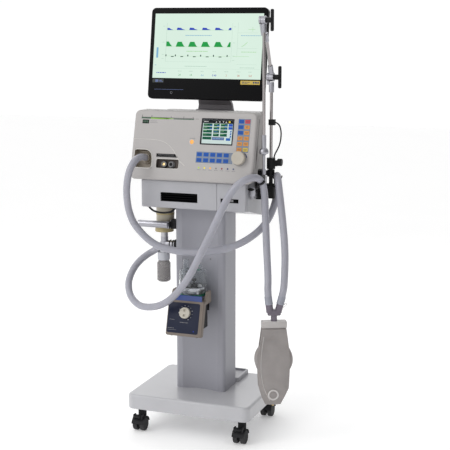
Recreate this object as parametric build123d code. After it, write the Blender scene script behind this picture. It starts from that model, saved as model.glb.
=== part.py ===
"""Intensive-care ventilator on a wheeled cart, with its patient monitor, support arm,
humidifier, expiratory filter, breathing hoses and test lung.

Frame: +Z up, floor at z = 0, the operator stands on the -Y side and looks along +Y.
Everything is modelled on the cart's own centre line and moved by CART_X, CART_Y at export,
which puts the origin at the centre of the footprint. Millimetres.
"""
from build123d import *
from math import cos, sin, tan, radians, pi
import os

# ---------------------------------------------------------------- driving dimensions
CART_X, CART_Y = -32.0, 3.25    # cart centre in the exported frame
WALL = 3.0                      # moulded plastic wall
SHAFT_GAP = 0.05                # radial running clearance of a shaft

BASE_X, BASE_Y = 466.0, 396.0   # base slab
BASE_Z, BASE_T = 87.0, 55.0
BASE_TOP = BASE_Z + BASE_T

CASTER_X, CASTER_FRONT, CASTER_REAR = 193.0, -147.0, 158.0
CASTER_TRAIL, WHEEL_R, WHEEL_W = 18.0, 24.0, 17.0

COLUMN_X, COLUMN_FRONT, COLUMN_BACK = 94.7, -60.7, 64.5     # half width, faces
SCALLOP = 14.0                  # depth of the hollow in the column's front

CABINET_X, CABINET_FRONT, CABINET_BACK = 196.0, -126.4, 112.0
CABINET_Z, CABINET_TOP = 818.0, 917.0
FASCIA_T = 16.0

VENT_X, VENT_Y, VENT_Z = 223.8, -147.4, 918.0               # bezel half width, lower front edge
VENT_LEAN, VENT_H, VENT_T = 15.06, 247.6, 55.0
VENT_FLARE = 10.0               # extra width of the bezel on the hose side
HOUSING_X, HOUSING_BACK, HOUSING_TOP = 186.0, 112.0, 1148.0

MON_X, MON_Y, MON_Z = 219.7, -12.3, 1193.5                  # monitor half width, lower front edge
MON_LEAN, MON_H, MON_T = 9.1, 324.4, 20.0
ACTIVE_W, ACTIVE_H, ACTIVE_V = 409.8, 230.4, 188.8          # 18.5 inch panel
TILT_Y, TILT_Z = 72.0, 1352.0                               # monitor tilt axis

POST_X, POST_Y, POST_R = 250.0, -14.5, 7.0                  # accessory post
MID_Z, TOP_Y, TOP_Z = 1277.0, -100.6, 1470.0                # arm knuckles
BALL_Y, BALL_Z, ROD_R = -92.5, 1027.0, 5.5

HUM_X, HUM_Y, HUM_Z = -8.0, -204.0, 380.0                   # humidifier lower front edge
HUM_W, HUM_H, HUM_LEAN = 135.0, 127.0, 15.7
DECK_Z, CHAMBER_Y, CHAMBER_R = 505.0, -108.0, 50.5

EXP_X, EXP_Y, TEE_Z = -153.0, -22.0, 668.0                  # expiratory filter and trap

HOSE_D = 25.0
LUNG_X, LUNG_Y, LUNG_YAW = 309.0, -150.0, 24.0              # hanging test lung
WYE_Z = 497.0


# ---------------------------------------------------------------- helpers
def lean_plane(x, y, z, lean):
    """Plane of a face that leans back: local x across, y up the slope, z outward."""
    a = radians(lean)
    return Plane(origin=(x, y, z), x_dir=(1, 0, 0), z_dir=(0, -cos(a), sin(a)))


VENT = lean_plane(0, VENT_Y, VENT_Z, VENT_LEAN)
MON = lean_plane(0, MON_Y, MON_Z, MON_LEAN)
HUM = lean_plane(HUM_X, HUM_Y, HUM_Z, HUM_LEAN)
LUNG = Pos(LUNG_X, LUNG_Y, 0) * Rot(0, 0, LUNG_YAW)


def span(x0, x1, y0, y1, z0, z1):
    """Box between two corners."""
    return Pos((x0 + x1) / 2, (y0 + y1) / 2, (z0 + z1) / 2) * Box(x1 - x0, y1 - y0, z1 - z0)


def pill(x0, x1, y0, y1, z0, z1, r, edge=0.0):
    """Box with rounded corners in plan and, optionally, rounded top edges."""
    body = fillet(span(x0, x1, y0, y1, z0, z1).edges().filter_by(Axis.Z), r)
    return fillet(body.faces().sort_by(Axis.Z)[-1].edges(), edge) if edge else body


def rod(p, q, r, bore=0.0):
    """Round bar or tube from point p to point q."""
    p, q = Vector(*p), Vector(*q)
    body = extrude(Plane(origin=p, z_dir=q - p) * Circle(r), (q - p).length)
    return body - extrude(Plane(origin=p, z_dir=q - p) * Circle(bore), (q - p).length) if bore else body


def ball(p, r):
    return Pos(*p) * Sphere(r)


def group(*solids):
    """Several separate solids kept as one node."""
    return Compound(children=[s for part in solids for s in part.solids()])


def save(name, shape):
    export_step(Pos(CART_X, CART_Y, 0) * shape, f"parts/{name}.step")


os.makedirs("parts", exist_ok=True)


# ---------------------------------------------------------------- base and casters
slab = pill(-BASE_X / 2, BASE_X / 2, -BASE_Y / 2, BASE_Y / 2, BASE_Z, BASE_TOP, 26, 10)
slab = fillet(slab.faces().sort_by(Axis.Z)[0].edges(), 5)
slab -= span(-BASE_X / 2 + 70, BASE_X / 2 - 70, -BASE_Y / 2 + 75, BASE_Y / 2 - 75, BASE_Z, BASE_TOP - 12)
save("base_slab", slab)

tray = pill(-101, 101, 68, 192, BASE_TOP, BASE_TOP + 16, 14, 4)
tray -= pill(-93, 93, 76, 184, BASE_TOP + 9, BASE_TOP + 16, 8)
save("rear_tray", tray)


def caster(tag, x, y, braked):
    """Twin-wheel swivel caster: fork with hood, wheel pair on its axle, brake pedal if braked."""
    axle = (x, y - CASTER_TRAIL, WHEEL_R)
    at_axle = Pos(*axle) * Rot(0, 90, 0)
    hood = at_axle * (Cylinder(30, 46) - Cylinder(27, 46))
    hood -= span(x - 30, x + 30, axle[1] - 40, axle[1] + 40, -10, WHEEL_R + 6)
    web = span(x - 4, x + 4, axle[1] - 11, axle[1] + 11, WHEEL_R - 9, WHEEL_R + 28)
    neck = Pos(x, y, 67) * Cylinder(15, 34) - at_axle * Cylinder(27.5, 60)
    plate = pill(x - 21, x + 21, y - 21, y + 21, BASE_Z - 3, BASE_Z, 6)
    fork = hood + web + neck + plate - at_axle * Cylinder(4 + SHAFT_GAP, 60)
    pivot = (axle[1] - 22.5, 59.5)
    if braked:
        for s in (-1, 1):
            fork += span(x + s * 15 - 2, x + s * 15 + 2, axle[1] - 27, axle[1] - 8, 48, 64) \
                - at_axle * Cylinder(28, 60)
        fork -= rod((x - 20, *pivot), (x + 20, *pivot), 2 + SHAFT_GAP)
    save(f"caster_{tag}_fork", fork)

    wheel = fillet(Cylinder(WHEEL_R, WHEEL_W).edges(), 3)
    wheels = [Pos(x + s * (5 + WHEEL_W / 2), axle[1], axle[2]) * Rot(0, 90, 0) * wheel for s in (-1, 1)]
    wheels.append(rod((x - 14, axle[1], axle[2]), (x + 14, axle[1], axle[2]), 4))
    save(f"caster_{tag}_wheels", wheels[0] + wheels[1] + wheels[2])

    if not braked:
        return
    pedal = span(x - 12.5, x + 12.5, pivot[0] - 17, pivot[0] + 2, 57.5, 61.5)
    pedal = fillet(pedal.edges().filter_by(Axis.Z), 1.5) + rod((x - 17, *pivot), (x + 17, *pivot), 2)
    save(f"caster_{tag}_brake", pedal)


for side, sx in (("l", -1), ("r", 1)):
    caster(f"f{side}", sx * CASTER_X, CASTER_FRONT, True)
    caster(f"r{side}", sx * CASTER_X, CASTER_REAR, False)


# ---------------------------------------------------------------- column
def column_profile(inset=0.0):
    """Plan of the column: rounded box whose front is hollowed by a shallow arc."""
    x, front, back = COLUMN_X - inset, COLUMN_FRONT + inset, COLUMN_BACK - inset
    flat = x - 26
    with BuildSketch() as sketch:
        with BuildLine():
            Polyline((-flat, front), (-x, front), (-x, back), (x, back), (x, front), (flat, front))
            ThreePointArc((flat, front), (0, front + SCALLOP), (-flat, front))
        make_face()
        corners = sketch.vertices().filter_by(lambda v: abs(v.X) > x - 1)
        fillet(corners, 12 - inset)
    return sketch.sketch


column = extrude(Pos(0, 0, BASE_TOP) * column_profile(), CABINET_Z - BASE_TOP)
column -= extrude(Pos(0, 0, BASE_TOP) * column_profile(WALL), CABINET_Z - BASE_TOP)
save("column_shell", column)

spine = span(-35, 35, -22, 38, BASE_TOP, CABINET_Z) - span(-31, 31, -18, 34, BASE_TOP, CABINET_Z)
save("column_spine", spine)

# ---------------------------------------------------------------- cabinet under the ventilator
body_front = CABINET_FRONT + FASCIA_T


def cabinet_outline(inset):
    """Side profile: the floor drops towards the rear."""
    y0, y1, top = body_front, CABINET_BACK - inset, CABINET_TOP - inset
    with BuildSketch(Plane.YZ) as sketch:
        Polygon((y0, CABINET_Z + inset), (-96, CABINET_Z + inset), (56, CABINET_Z - 36 + inset),
                (y1, CABINET_Z - 36 + inset), (y1, top), (y0, top), align=None)
    return sketch.sketch


cabinet = extrude(cabinet_outline(0), CABINET_X, both=True)
cabinet = fillet(cabinet.edges().filter_by(Axis.Z), 6)
cabinet -= extrude(cabinet_outline(WALL), CABINET_X - WALL, both=True)
cabinet -= extrude(Pos(0, 0, CABINET_Z - 60) * column_profile(), 60)     # seat on the column
save("cabinet_body", cabinet)

LOUVRE = (-122, 18, 842, 874)
DISPLAY = (104, 170, 849, 863)
fascia = pill(-CABINET_X, CABINET_X, CABINET_FRONT, body_front, CABINET_Z, CABINET_TOP, 4)
fascia = fillet(fascia.faces().sort_by(Axis.Y)[0].edges().filter_by(Axis.X), 5)
fascia -= span(LOUVRE[0], LOUVRE[1], CABINET_FRONT, body_front, LOUVRE[2], LOUVRE[3])
fascia -= span(DISPLAY[0], DISPLAY[1], CABINET_FRONT, CABINET_FRONT + 6, DISPLAY[2], DISPLAY[3])
fascia -= span(89.5, 91, CABINET_FRONT, CABINET_FRONT + 2.5, CABINET_Z, CABINET_TOP)
save("cabinet_fascia", fascia)

louvre = span(LOUVRE[0], LOUVRE[1], CABINET_FRONT + 12, body_front, LOUVRE[2], LOUVRE[3])
for row in range(4):
    z = LOUVRE[2] + 1.5 + 8 * row
    slat = Pos(0, CABINET_FRONT + 7, z + 2.6) * Rot(25, 0, 0) * Box(LOUVRE[1] - LOUVRE[0], 13, 2.2)
    louvre += Pos((LOUVRE[0] + LOUVRE[1]) / 2, 0, 0) * slat
louvre &= span(LOUVRE[0], LOUVRE[1], CABINET_FRONT + 1, body_front, LOUVRE[2], LOUVRE[3])
save("cabinet_louvre", louvre)

save("battery_pack", pill(-170, -30, -90, 40, CABINET_Z + WALL, CABINET_Z + 70, 6))

# ---------------------------------------------------------------- ventilator front
PORT_U, PORT_V = -184.0, 80.0
RECESS_D = 34.0


def wet_recess(grow=0.0):
    """D-shaped recess of the patient outlet, in the bezel's plane."""
    with BuildSketch() as sketch:
        with BuildLine():
            Polyline((-152 + grow, 74), (-152 + grow, 42 - grow), (-222 - grow, 42 - grow),
                     (-222 - grow, 108 + grow), (-180, 108 + grow))
            ThreePointArc((-180, 108 + grow), (-160 + 0.7 * grow, 98 + 0.7 * grow), (-152 + grow, 74))
        make_face()
    return sketch.sketch


def bezel_box(inset, w0, w1):
    """Slice of the bezel between two depths; its top and bottom run back level."""
    a = radians(VENT_LEAN)
    plan = RectangleRounded(2 * VENT_X + VENT_FLARE - 2 * inset, VENT_H - 2 * inset, 20 - inset)
    plan = Pos(-VENT_FLARE / 2, VENT_H / 2 - w1 * tan(a), w1) * plan
    return extrude(plan, (w1 - w0) / cos(a), dir=(0, sin(a), -cos(a)))


def slot_shape(grow=0.0):
    """Dark slot above the sensor sockets, its right end slanted."""
    return Polygon((-137 - grow, 83 - grow), (-53 + grow, 83 - grow), (-66 + grow, 95 + grow),
                   (-137 - grow, 95 + grow), align=None)


SENSOR = (-136, -49, 43, 77)
sensor_size = (SENSOR[1] - SENSOR[0], SENSOR[3] - SENSOR[2])
sensor_mid = ((SENSOR[0] + SENSOR[1]) / 2, (SENSOR[2] + SENSOR[3]) / 2)


def sensor_shape(grow=0.0):
    return Pos(*sensor_mid) * RectangleRounded(sensor_size[0] + 2 * grow, sensor_size[1] + 2 * grow,
                                               7 + grow)


LCD = (23.5, 140.5, 134.5, 223.5)
SIDE_KEYS = (157, 202, 110.5, 227)
LOW_KEYS = (12.5, 136, 68.5, 108)
KNOB_U, KNOB_V, KNOB_R = 172.6, 88.9, 23.5

bezel = bezel_box(0, -VENT_T, 0)
bezel = fillet(bezel.faces().sort_by(Axis.Z)[-1].edges(), 8)
bezel -= bezel_box(4, -VENT_T + 3, -4)
bezel -= span(-176, 176, 34, VENT_H, -VENT_T - 2, -VENT_T + 3.2)
for shape, depth in ((wet_recess, RECESS_D), (slot_shape, 8), (sensor_shape, 20)):
    bezel += extrude(Pos(0, 0, -depth - 2) * shape(2), depth + 1) & bezel_box(0, -VENT_T, -4)
    bezel -= extrude(Pos(0, 0, -depth) * shape(), depth)
bezel -= span(LCD[0], LCD[1], LCD[2], LCD[3], -6, 1)
for u0, u1, v0, v1 in (SIDE_KEYS, LOW_KEYS):
    bezel -= span(u0, u1, v0, v1, -0.8, 1)
bezel -= Pos(PORT_U, PORT_V, -RECESS_D) * Cylinder(12.5, 10)
bezel -= Pos(KNOB_U, KNOB_V, 0) * Cylinder(5.0, 12)
bezel -= Pos(-7.7, 140.4, 0) * Cylinder(7.6, 12)
for index in range(7):
    bezel -= Pos(26.4 + 21.3 * index, 51.6, 0) * Cylinder(3.1, 12)
bezel = VENT * bezel
save("vent_bezel", bezel)

lcd = span(LCD[0], LCD[1], LCD[2], LCD[3], -9, -1)
save("lcd_module", VENT * (lcd - span(LCD[0] + 3, LCD[1] - 3, LCD[2] + 3, LCD[3] - 3, -3, 1)))


def keypad(area, columns, rows, key_u, key_v):
    """Membrane keypad: one overlay with raised key fields in a grid."""
    u0, u1, v0, v1 = area
    pad = span(u0, u1, v0, v1, -0.8, 0.4)
    for i in range(columns):
        for j in range(rows):
            u = u0 + (u1 - u0) * (i + 0.5) / columns
            v = v0 + (v1 - v0) * (j + 0.5) / rows
            pad += span(u - key_u / 2, u + key_u / 2, v - key_v / 2, v + key_v / 2, 0, 1.1)
    return VENT * pad


save("side_keypad", keypad(SIDE_KEYS, 2, 6, 18, 13))
save("lower_keypad", keypad(LOW_KEYS, 5, 2, 18, 13))

# push-and-turn encoder
shaft = Pos(KNOB_U, KNOB_V, -6) * Cylinder(4.0, 32) + Pos(KNOB_U, KNOB_V, -20) * Cylinder(11, 6)
save("encoder_shaft", VENT * shaft)
knob = fillet(Cylinder(KNOB_R, 17).edges(), 2.5) - Pos(0, 0, -6.5) * Cylinder(4 + SHAFT_GAP, 14)
save("encoder_knob", VENT * (Pos(KNOB_U, KNOB_V, 11.5) * knob))

lamp = Pos(-7.7, 140.4, -3) * Cylinder(7.5, 8)
lamp = fillet(lamp.faces().sort_by(Axis.Z)[-1].edges(), 0.8)
leds = [Pos(26.4 + 21.3 * i, 51.6, -3.2) * Cylinder(3.0, 7.6) for i in range(7)]
save("front_lamps", group(*[VENT * item for item in [lamp] + leds]))

port = Pos(PORT_U, PORT_V, -22) * Cylinder(15, 20) + Pos(PORT_U, PORT_V, -36) * Cylinder(12.5, 10)
port -= Pos(PORT_U, PORT_V, -26) * Cylinder(9.5, 32)
save("patient_port", VENT * port)

sockets = [Pos(u, 59.5, -13.98) * (Cylinder(9.5, 12) - Pos(0, 0, 2) * Cylinder(6.5, 10)) for u in (-109, -82)]
save("sensor_sockets", group(*[VENT * item for item in sockets]))

# housing behind the bezel
a = radians(VENT_LEAN)
back_y = VENT_Y + VENT_T * cos(a)
back_z = VENT_Z - VENT_T * sin(a)


def housing_outline(inset):
    low, top, rear = VENT_Z + inset, HOUSING_TOP - inset, HOUSING_BACK - inset
    front = [back_y + (z - back_z) * tan(a) + 0.2 for z in (low, top)]
    with BuildSketch(Plane.YZ) as sketch:
        Polygon((front[0], low), (rear, low), (rear, top), (front[1], top), align=None)
    return sketch.sketch


housing = extrude(housing_outline(0), HOUSING_X, both=True)
housing = fillet(housing.edges().filter_by(Axis.Z), 12)
housing -= extrude(housing_outline(WALL), HOUSING_X - WALL, both=True)
for row in range(6):
    housing -= span(-150, -40, 80, HOUSING_BACK, 960 + 18 * row, 968 + 18 * row)
save("vent_housing", housing)

# ---------------------------------------------------------------- inside the ventilator
blower = Pos(-80, 28, 985) * (Cylinder(52, 46) + Pos(0, 0, 30) * Cylinder(20, 16))
save("blower", fillet(blower.edges().filter_by(GeomType.CIRCLE).sort_by(Axis.Z)[:2], 4))
save("main_board", span(-150, 150, 86, 88, 935, 1130))

# ---------------------------------------------------------------- monitor
mon_v = ACTIVE_V - ACTIVE_H / 2
mon_front = extrude(Pos(0, MON_H / 2, -MON_T) * RectangleRounded(2 * MON_X, MON_H, 16), MON_T)
mon_front = fillet(mon_front.faces().sort_by(Axis.Z)[-1].edges(), 3)
window = span(-ACTIVE_W / 2, ACTIVE_W / 2, mon_v, mon_v + ACTIVE_H, -5, 1)
mon_front -= window
save("monitor_bezel", MON * mon_front)
save("monitor_screen", MON * span(-ACTIVE_W / 2, ACTIVE_W / 2, mon_v, mon_v + ACTIVE_H, -5, -1.2))

back = loft([Pos(0, MON_H / 2, -MON_T) * RectangleRounded(2 * MON_X - 16, MON_H - 16, 14),
             Pos(0, MON_H / 2 + 6, -MON_T - 14) * RectangleRounded(2 * MON_X - 120, MON_H - 90, 20)])
for row in range(5):
    back -= span(-110, 110, 215 + 9 * row, 219 + 9 * row, -60, -MON_T - 10)
save("monitor_back", MON * back)

# stand: foot and neck on the ventilator, tilting bracket on the monitor
foot = pill(-66, 66, 66, 108, HOUSING_TOP, HOUSING_TOP + 5, 8, 2)
with BuildSketch(Plane.XZ) as neck_sketch:
    Polygon((-68, HOUSING_TOP), (68, HOUSING_TOP), (34, TILT_Z - 13), (-34, TILT_Z - 13), align=None)
with BuildSketch(Plane.YZ) as cranked:
    Polygon((TILT_Y + 2, TILT_Z), (TILT_Y + 14, TILT_Z), (TILT_Y + 14, 1204), (TILT_Y + 38, 1172),
            (TILT_Y + 38, HOUSING_TOP), (TILT_Y + 26, HOUSING_TOP), (TILT_Y + 26, 1168),
            (TILT_Y + 2, 1200), align=None)
neck = extrude(cranked.sketch, 80, both=True) & extrude(neck_sketch.sketch, 150, both=True)
knuckle = rod((-22, TILT_Y, TILT_Z), (22, TILT_Y, TILT_Z), 12, 5 + SHAFT_GAP)
web = span(-22, 22, TILT_Y, TILT_Y + 16, TILT_Z - 20, TILT_Z)
web -= rod((-22, TILT_Y, TILT_Z), (22, TILT_Y, TILT_Z), 11.9)
save("monitor_stand", foot + neck + knuckle + web)

cheeks = [rod((s * 24, TILT_Y, TILT_Z), (s * 32, TILT_Y, TILT_Z), 12) for s in (-1, 1)]
cheeks += [rod((-30, TILT_Y, TILT_Z), (30, TILT_Y, TILT_Z), 5)]
hinge_w = -MON_T - 14
pad = MON * span(-50, 50, 126, 206, hinge_w - 3, hinge_w)
pad_y = (pad.bounding_box().min.Y + pad.bounding_box().max.Y) / 2
arms = [span(min(s * 24, s * 32), max(s * 24, s * 32), pad_y, TILT_Y, TILT_Z - 9, TILT_Z + 9)
        for s in (-1, 1)]
save("monitor_hinge", cheeks[0] + cheeks[1] + cheeks[2] + pad + arms[0] + arms[1])

# ---------------------------------------------------------------- side rail, post and arm
RAIL_Z = 873.0
save("side_rail", span(CABINET_X + 8, CABINET_X + 16, -92, 60, RAIL_Z - 12.5, RAIL_Z + 12.5)
     + rod((CABINET_X, -70, RAIL_Z), (CABINET_X + 8.5, -70, RAIL_Z), 7)
     + rod((CABINET_X, 40, RAIL_Z), (CABINET_X + 8.5, 40, RAIL_Z), 7))

clamp = span(CABINET_X + 5, CABINET_X + 26, POST_Y - 22, POST_Y + 22, RAIL_Z - 20, RAIL_Z + 82)
clamp -= span(CABINET_X + 7.9, CABINET_X + 16.1, POST_Y - 22, POST_Y + 22, RAIL_Z - 12.6, RAIL_Z + 12.6)
clamp -= span(CABINET_X + 4, CABINET_X + 8, POST_Y - 22, POST_Y + 22, RAIL_Z - 11, RAIL_Z + 11)
arm_bar = span(CABINET_X + 14, POST_X, POST_Y - 8, POST_Y + 8, RAIL_Z + 64, RAIL_Z + 80)
boss = rod((POST_X, POST_Y, RAIL_Z + 60), (POST_X, POST_Y, RAIL_Z + 84), 13)
clamp = clamp + arm_bar + boss - rod((POST_X, POST_Y, 900), (POST_X, POST_Y, 1000), POST_R)
save("rail_clamp", clamp)


SLEEVE_Z = (960.0, 998.0)
sleeve = rod((POST_X, POST_Y, SLEEVE_Z[0]), (POST_X, POST_Y, SLEEVE_Z[1]), 15)
sleeve = sleeve - rod((POST_X, POST_Y, SLEEVE_Z[0]), (POST_X, POST_Y, 976.3), POST_R + SHAFT_GAP)
sleeve += span(POST_X + 8, POST_X + 24, POST_Y - 8, POST_Y + 8, 970, 990)
sleeve -= rod((POST_X + 15, POST_Y, 983.5), (POST_X + 26, POST_Y, 983.5), 4 + SHAFT_GAP)
MID = (POST_X, POST_Y + 2.0, MID_Z)
TOP = (POST_X, TOP_Y, TOP_Z)
BALL = (POST_X, BALL_Y, BALL_Z)


def toward(p, q, distance):
    """Point at a distance from p on the way to q."""
    d = Vector(*q) - Vector(*p)
    return tuple(Vector(*p) + d * (distance / d.length))


sleeve += rod((POST_X, POST_Y, SLEEVE_Z[1] - 2), (POST_X, POST_Y, MID_Z - 30), ROD_R)
fork_mid = rod((POST_X, POST_Y, MID_Z - 52), (POST_X, POST_Y, MID_Z - 17), 9)
clip = span(POST_X - 8, POST_X + 14, POST_Y - 7, POST_Y + 7, 1112, 1132)
saddle = span(MID[0] - 15, MID[0] + 6, MID[1] - 9, MID[1] + 9, MID_Z - 26, MID_Z - 17)


def ear(centre, away, r, reach):
    """Cheek beside a knuckle: a disc on the pivot and a strap back along its rod."""
    up = Vector(*centre) - Vector(*away)
    frame = Plane(origin=(centre[0] - 15, centre[1], centre[2]), x_dir=up.cross(Vector(1, 0, 0)), z_dir=(1, 0, 0))
    return extrude(frame * (Circle(r) + Pos(0, -reach / 2) * Rectangle(15, reach)), 6)


ear_mid = ear(MID, (MID[0], MID[1], MID[2] - 100), 15, 26)
pin_mid = rod((MID[0] - 12, MID[1], MID[2]), (MID[0] + 20.5, MID[1], MID[2]), 4)
save("arm_lower_rod", sleeve + fork_mid + clip + saddle + ear_mid + pin_mid)


def hub(centre, r, width, bore):
    return rod((centre[0] - width / 2, centre[1], centre[2]),
               (centre[0] + width / 2, centre[1], centre[2]), r, bore)


def t_knob(centre, x0, length, bore):
    """Clamping knob: round boss threaded on the pin with a cross bar."""
    boss_part = rod((x0, centre[1], centre[2]), (x0 + 18, centre[1], centre[2]), 9)
    bar = rod((x0 + 20, centre[1], centre[2] - length / 2), (x0 + 20, centre[1], centre[2] + length / 2), 6)
    bar = fillet(bar.edges(), 4)
    return boss_part + bar - rod((x0 - 1, centre[1], centre[2]), (x0 + 12, centre[1], centre[2]), bore)


MID_HUB_R, TOP_HUB_R = 15.0, 14.0
slanted = hub(MID, MID_HUB_R, 16, 4 + SHAFT_GAP)
slanted += rod(toward(MID, TOP, 14), toward(MID, TOP, 44), 9)
slanted += rod(toward(MID, TOP, 40), toward(TOP, MID, 54), ROD_R)
slanted += rod(toward(TOP, MID, 78), toward(TOP, MID, 50), 7.5)
slanted += ear(TOP, MID, TOP_HUB_R, 54)
bridge = Plane(origin=toward(TOP, MID, 54), x_dir=(1, 0, 0), z_dir=Vector(*TOP) - Vector(*MID))
slanted += extrude(bridge * (Pos(-4.5, 0) * Rectangle(21, 14)), 7)
slanted += rod((TOP[0] - 12, TOP[1], TOP[2]), (TOP[0] + 20.5, TOP[1], TOP[2]), 4)
save("arm_upper_rod", slanted)

hanging = hub(TOP, TOP_HUB_R, 16, 4 + SHAFT_GAP)
hanging += rod(toward(TOP, BALL, 12), toward(TOP, BALL, 42), 8)
hanging += rod(toward(TOP, BALL, 38), toward(BALL, TOP, 48), ROD_R)
hanging += rod(toward(BALL, TOP, 58), toward(BALL, TOP, 13), 8)
cup = ball(BALL, 16) - ball(BALL, 12.1)
cup -= extrude(Plane(origin=toward(BALL, TOP, -6), z_dir=Vector(*BALL) - Vector(*TOP)) * Circle(30), 30)
save("arm_hanging_rod", hanging + cup)

stub_end = toward(BALL, TOP, -78)
stub = ball(BALL, 12) + rod(BALL, stub_end, 5) + rod(toward(BALL, TOP, -60), stub_end, 7)
save("arm_ball_stub", stub)

save("arm_mid_knob", t_knob(MID, MID[0] + 9, 76, 4 + SHAFT_GAP))
save("arm_top_knob", t_knob(TOP, TOP[0] + 9, 73, 4 + SHAFT_GAP))
clamp_knob = rod((POST_X + 24.5, POST_Y, 983.5), (POST_X + 40, POST_Y, 983.5), 13)
clamp_knob = fillet(clamp_knob.edges(), 2) + rod((POST_X + 15.5, POST_Y, 983.5),
                                                 (POST_X + 26, POST_Y, 983.5), 4)
save("arm_clamp_knob", clamp_knob)

# ---------------------------------------------------------------- humidifier
lean = radians(HUM_LEAN)
hum_top = HUM_H * cos(lean)
deck_front = HUM_Y + HUM_H * sin(lean)
half = HUM_W / 2

front_plate = extrude(Pos(0, HUM_H / 2, -20) * RectangleRounded(HUM_W, HUM_H, 8), 20)
front_plate = HUM * fillet(front_plate.faces().sort_by(Axis.Z)[-1].edges(), 4)
deck = span(HUM_X - half, HUM_X + half, deck_front + 4, -102, DECK_Z - 18, DECK_Z - 6)
deck += span(HUM_X - 44, HUM_X + 44, -103, -64, DECK_Z - 18, DECK_Z - 6)
side_wall = []
for s in (-1, 1):
    with BuildSketch(Plane.YZ.offset(HUM_X + s * (half - 4))) as rim:
        Polygon((-158, DECK_Z - 18), (-104, DECK_Z - 18), (-104, DECK_Z + 24), (-132, DECK_Z + 24),
                (-150, DECK_Z - 2), align=None)
    side_wall.append(extrude(rim.sketch, 4, both=True))
rear = span(HUM_X - 44, HUM_X + 44, -66, -61, DECK_Z - 60, DECK_Z - 6)
rear += span(HUM_X - 12, HUM_X + 28, -61, -47.9, DECK_Z - 60, DECK_Z - 12)
lower = span(HUM_X - half + 9, HUM_X + half - 9, -166, -116, HUM_Z + 20, DECK_Z - 17)
lower += span(HUM_X - 34, HUM_X + 34, -117, -64, DECK_Z - 60, DECK_Z - 17)
hotplate = Pos(HUM_X, CHAMBER_Y, DECK_Z - 4) * Cylinder(44, 5)
humidifier = front_plate + deck + side_wall[0] + side_wall[1] + rear + lower + hotplate
dial_at = (2.0, 82.0)
humidifier -= HUM * (Pos(*dial_at, -6) * Cylinder(4 + SHAFT_GAP, 16))
guard_y = CHAMBER_Y - CHAMBER_R - 7
humidifier -= span(HUM_X - 59, HUM_X + 59, guard_y - 4.5, guard_y + 2, DECK_Z - 28, DECK_Z + 30)
save("humidifier_body", humidifier)

dial = fillet(Cylinder(19.5, 13).edges(), 1.5) - Pos(0, 9, 6.5) * Sphere(5) - Pos(0, -9, 6.5) * Sphere(5)
dial = Pos(*dial_at, 7) * dial + Pos(*dial_at, -5) * Cylinder(4, 16)
save("humidifier_dial", HUM * dial)

guard = span(HUM_X - 58, HUM_X + 58, guard_y - 4, guard_y + 1.5, DECK_Z - 15, DECK_Z + 14)
guard = fillet(guard.edges().filter_by(Axis.X), 1.2)
save("finger_guard", guard)

flange = Pos(HUM_X, CHAMBER_Y, DECK_Z + 4.5) * Cylinder(50, 4) + \
    Pos(HUM_X, CHAMBER_Y, DECK_Z + 3) * Cylinder(42, 9) + Pos(HUM_X, CHAMBER_Y, DECK_Z + 13) * Cylinder(43, 18)
flange -= Pos(HUM_X, CHAMBER_Y, DECK_Z + 16) * Cylinder(41.5, 20)
seal = Pos(HUM_X, CHAMBER_Y, DECK_Z + 9.5) * (Cylinder(49.5, 6) - Cylinder(43, 6))
save("chamber_base", flange + seal)

DOME_Z = (DECK_Z + 12.5, 600.0)
dome_h = DOME_Z[1] - DOME_Z[0]
dome = Pos(HUM_X, CHAMBER_Y, DOME_Z[0] + dome_h / 2) * Cylinder(CHAMBER_R - 1, dome_h)
dome = fillet(dome.faces().sort_by(Axis.Z)[-1].edges(), 10)
cavity = Cylinder(CHAMBER_R - 3.5, dome_h - 2.5)
cavity = fillet(cavity.faces().sort_by(Axis.Z)[-1].edges(), 8)
dome -= Pos(HUM_X, CHAMBER_Y, DOME_Z[0] + dome_h / 2 - 1.25) * cavity
for u, top in ((-26, 636), (24, 622)):
    stub_port = rod((HUM_X + u, CHAMBER_Y, 596), (HUM_X + u, CHAMBER_Y, top), 11)
    dome = dome + stub_port - rod((HUM_X + u, CHAMBER_Y, 580), (HUM_X + u, CHAMBER_Y, top), 9)
save("chamber_dome", dome)

# ---------------------------------------------------------------- expiratory filter and water trap
canister = Pos(EXP_X + 4, EXP_Y, 772) * Cylinder(33, 82) + Pos(EXP_X, EXP_Y, 724) * Cylinder(34, 18)
canister += Pos(EXP_X, EXP_Y, 706) * Cylinder(13, 22)
canister -= Pos(EXP_X + 4, EXP_Y, 755) * Cylinder(29, 70)
canister -= extrude(cabinet_outline(0), CABINET_X, both=True)
save("expiratory_filter", canister)

bar_y = EXP_Y - 31 - 16.5
bar_z = 747.0
handle = fillet(rod((-235, bar_y, bar_z), (-117, bar_y, bar_z), 12.5).edges(), 2)
arm_plate = span(-124, -112, bar_y - 6, COLUMN_FRONT + 16, bar_z - 12, bar_z + 12)
arm_plate += span(-115, -COLUMN_X, COLUMN_FRONT + 4, COLUMN_FRONT + 36, bar_z - 16, bar_z + 16)
save("filter_handle", handle + arm_plate)

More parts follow.
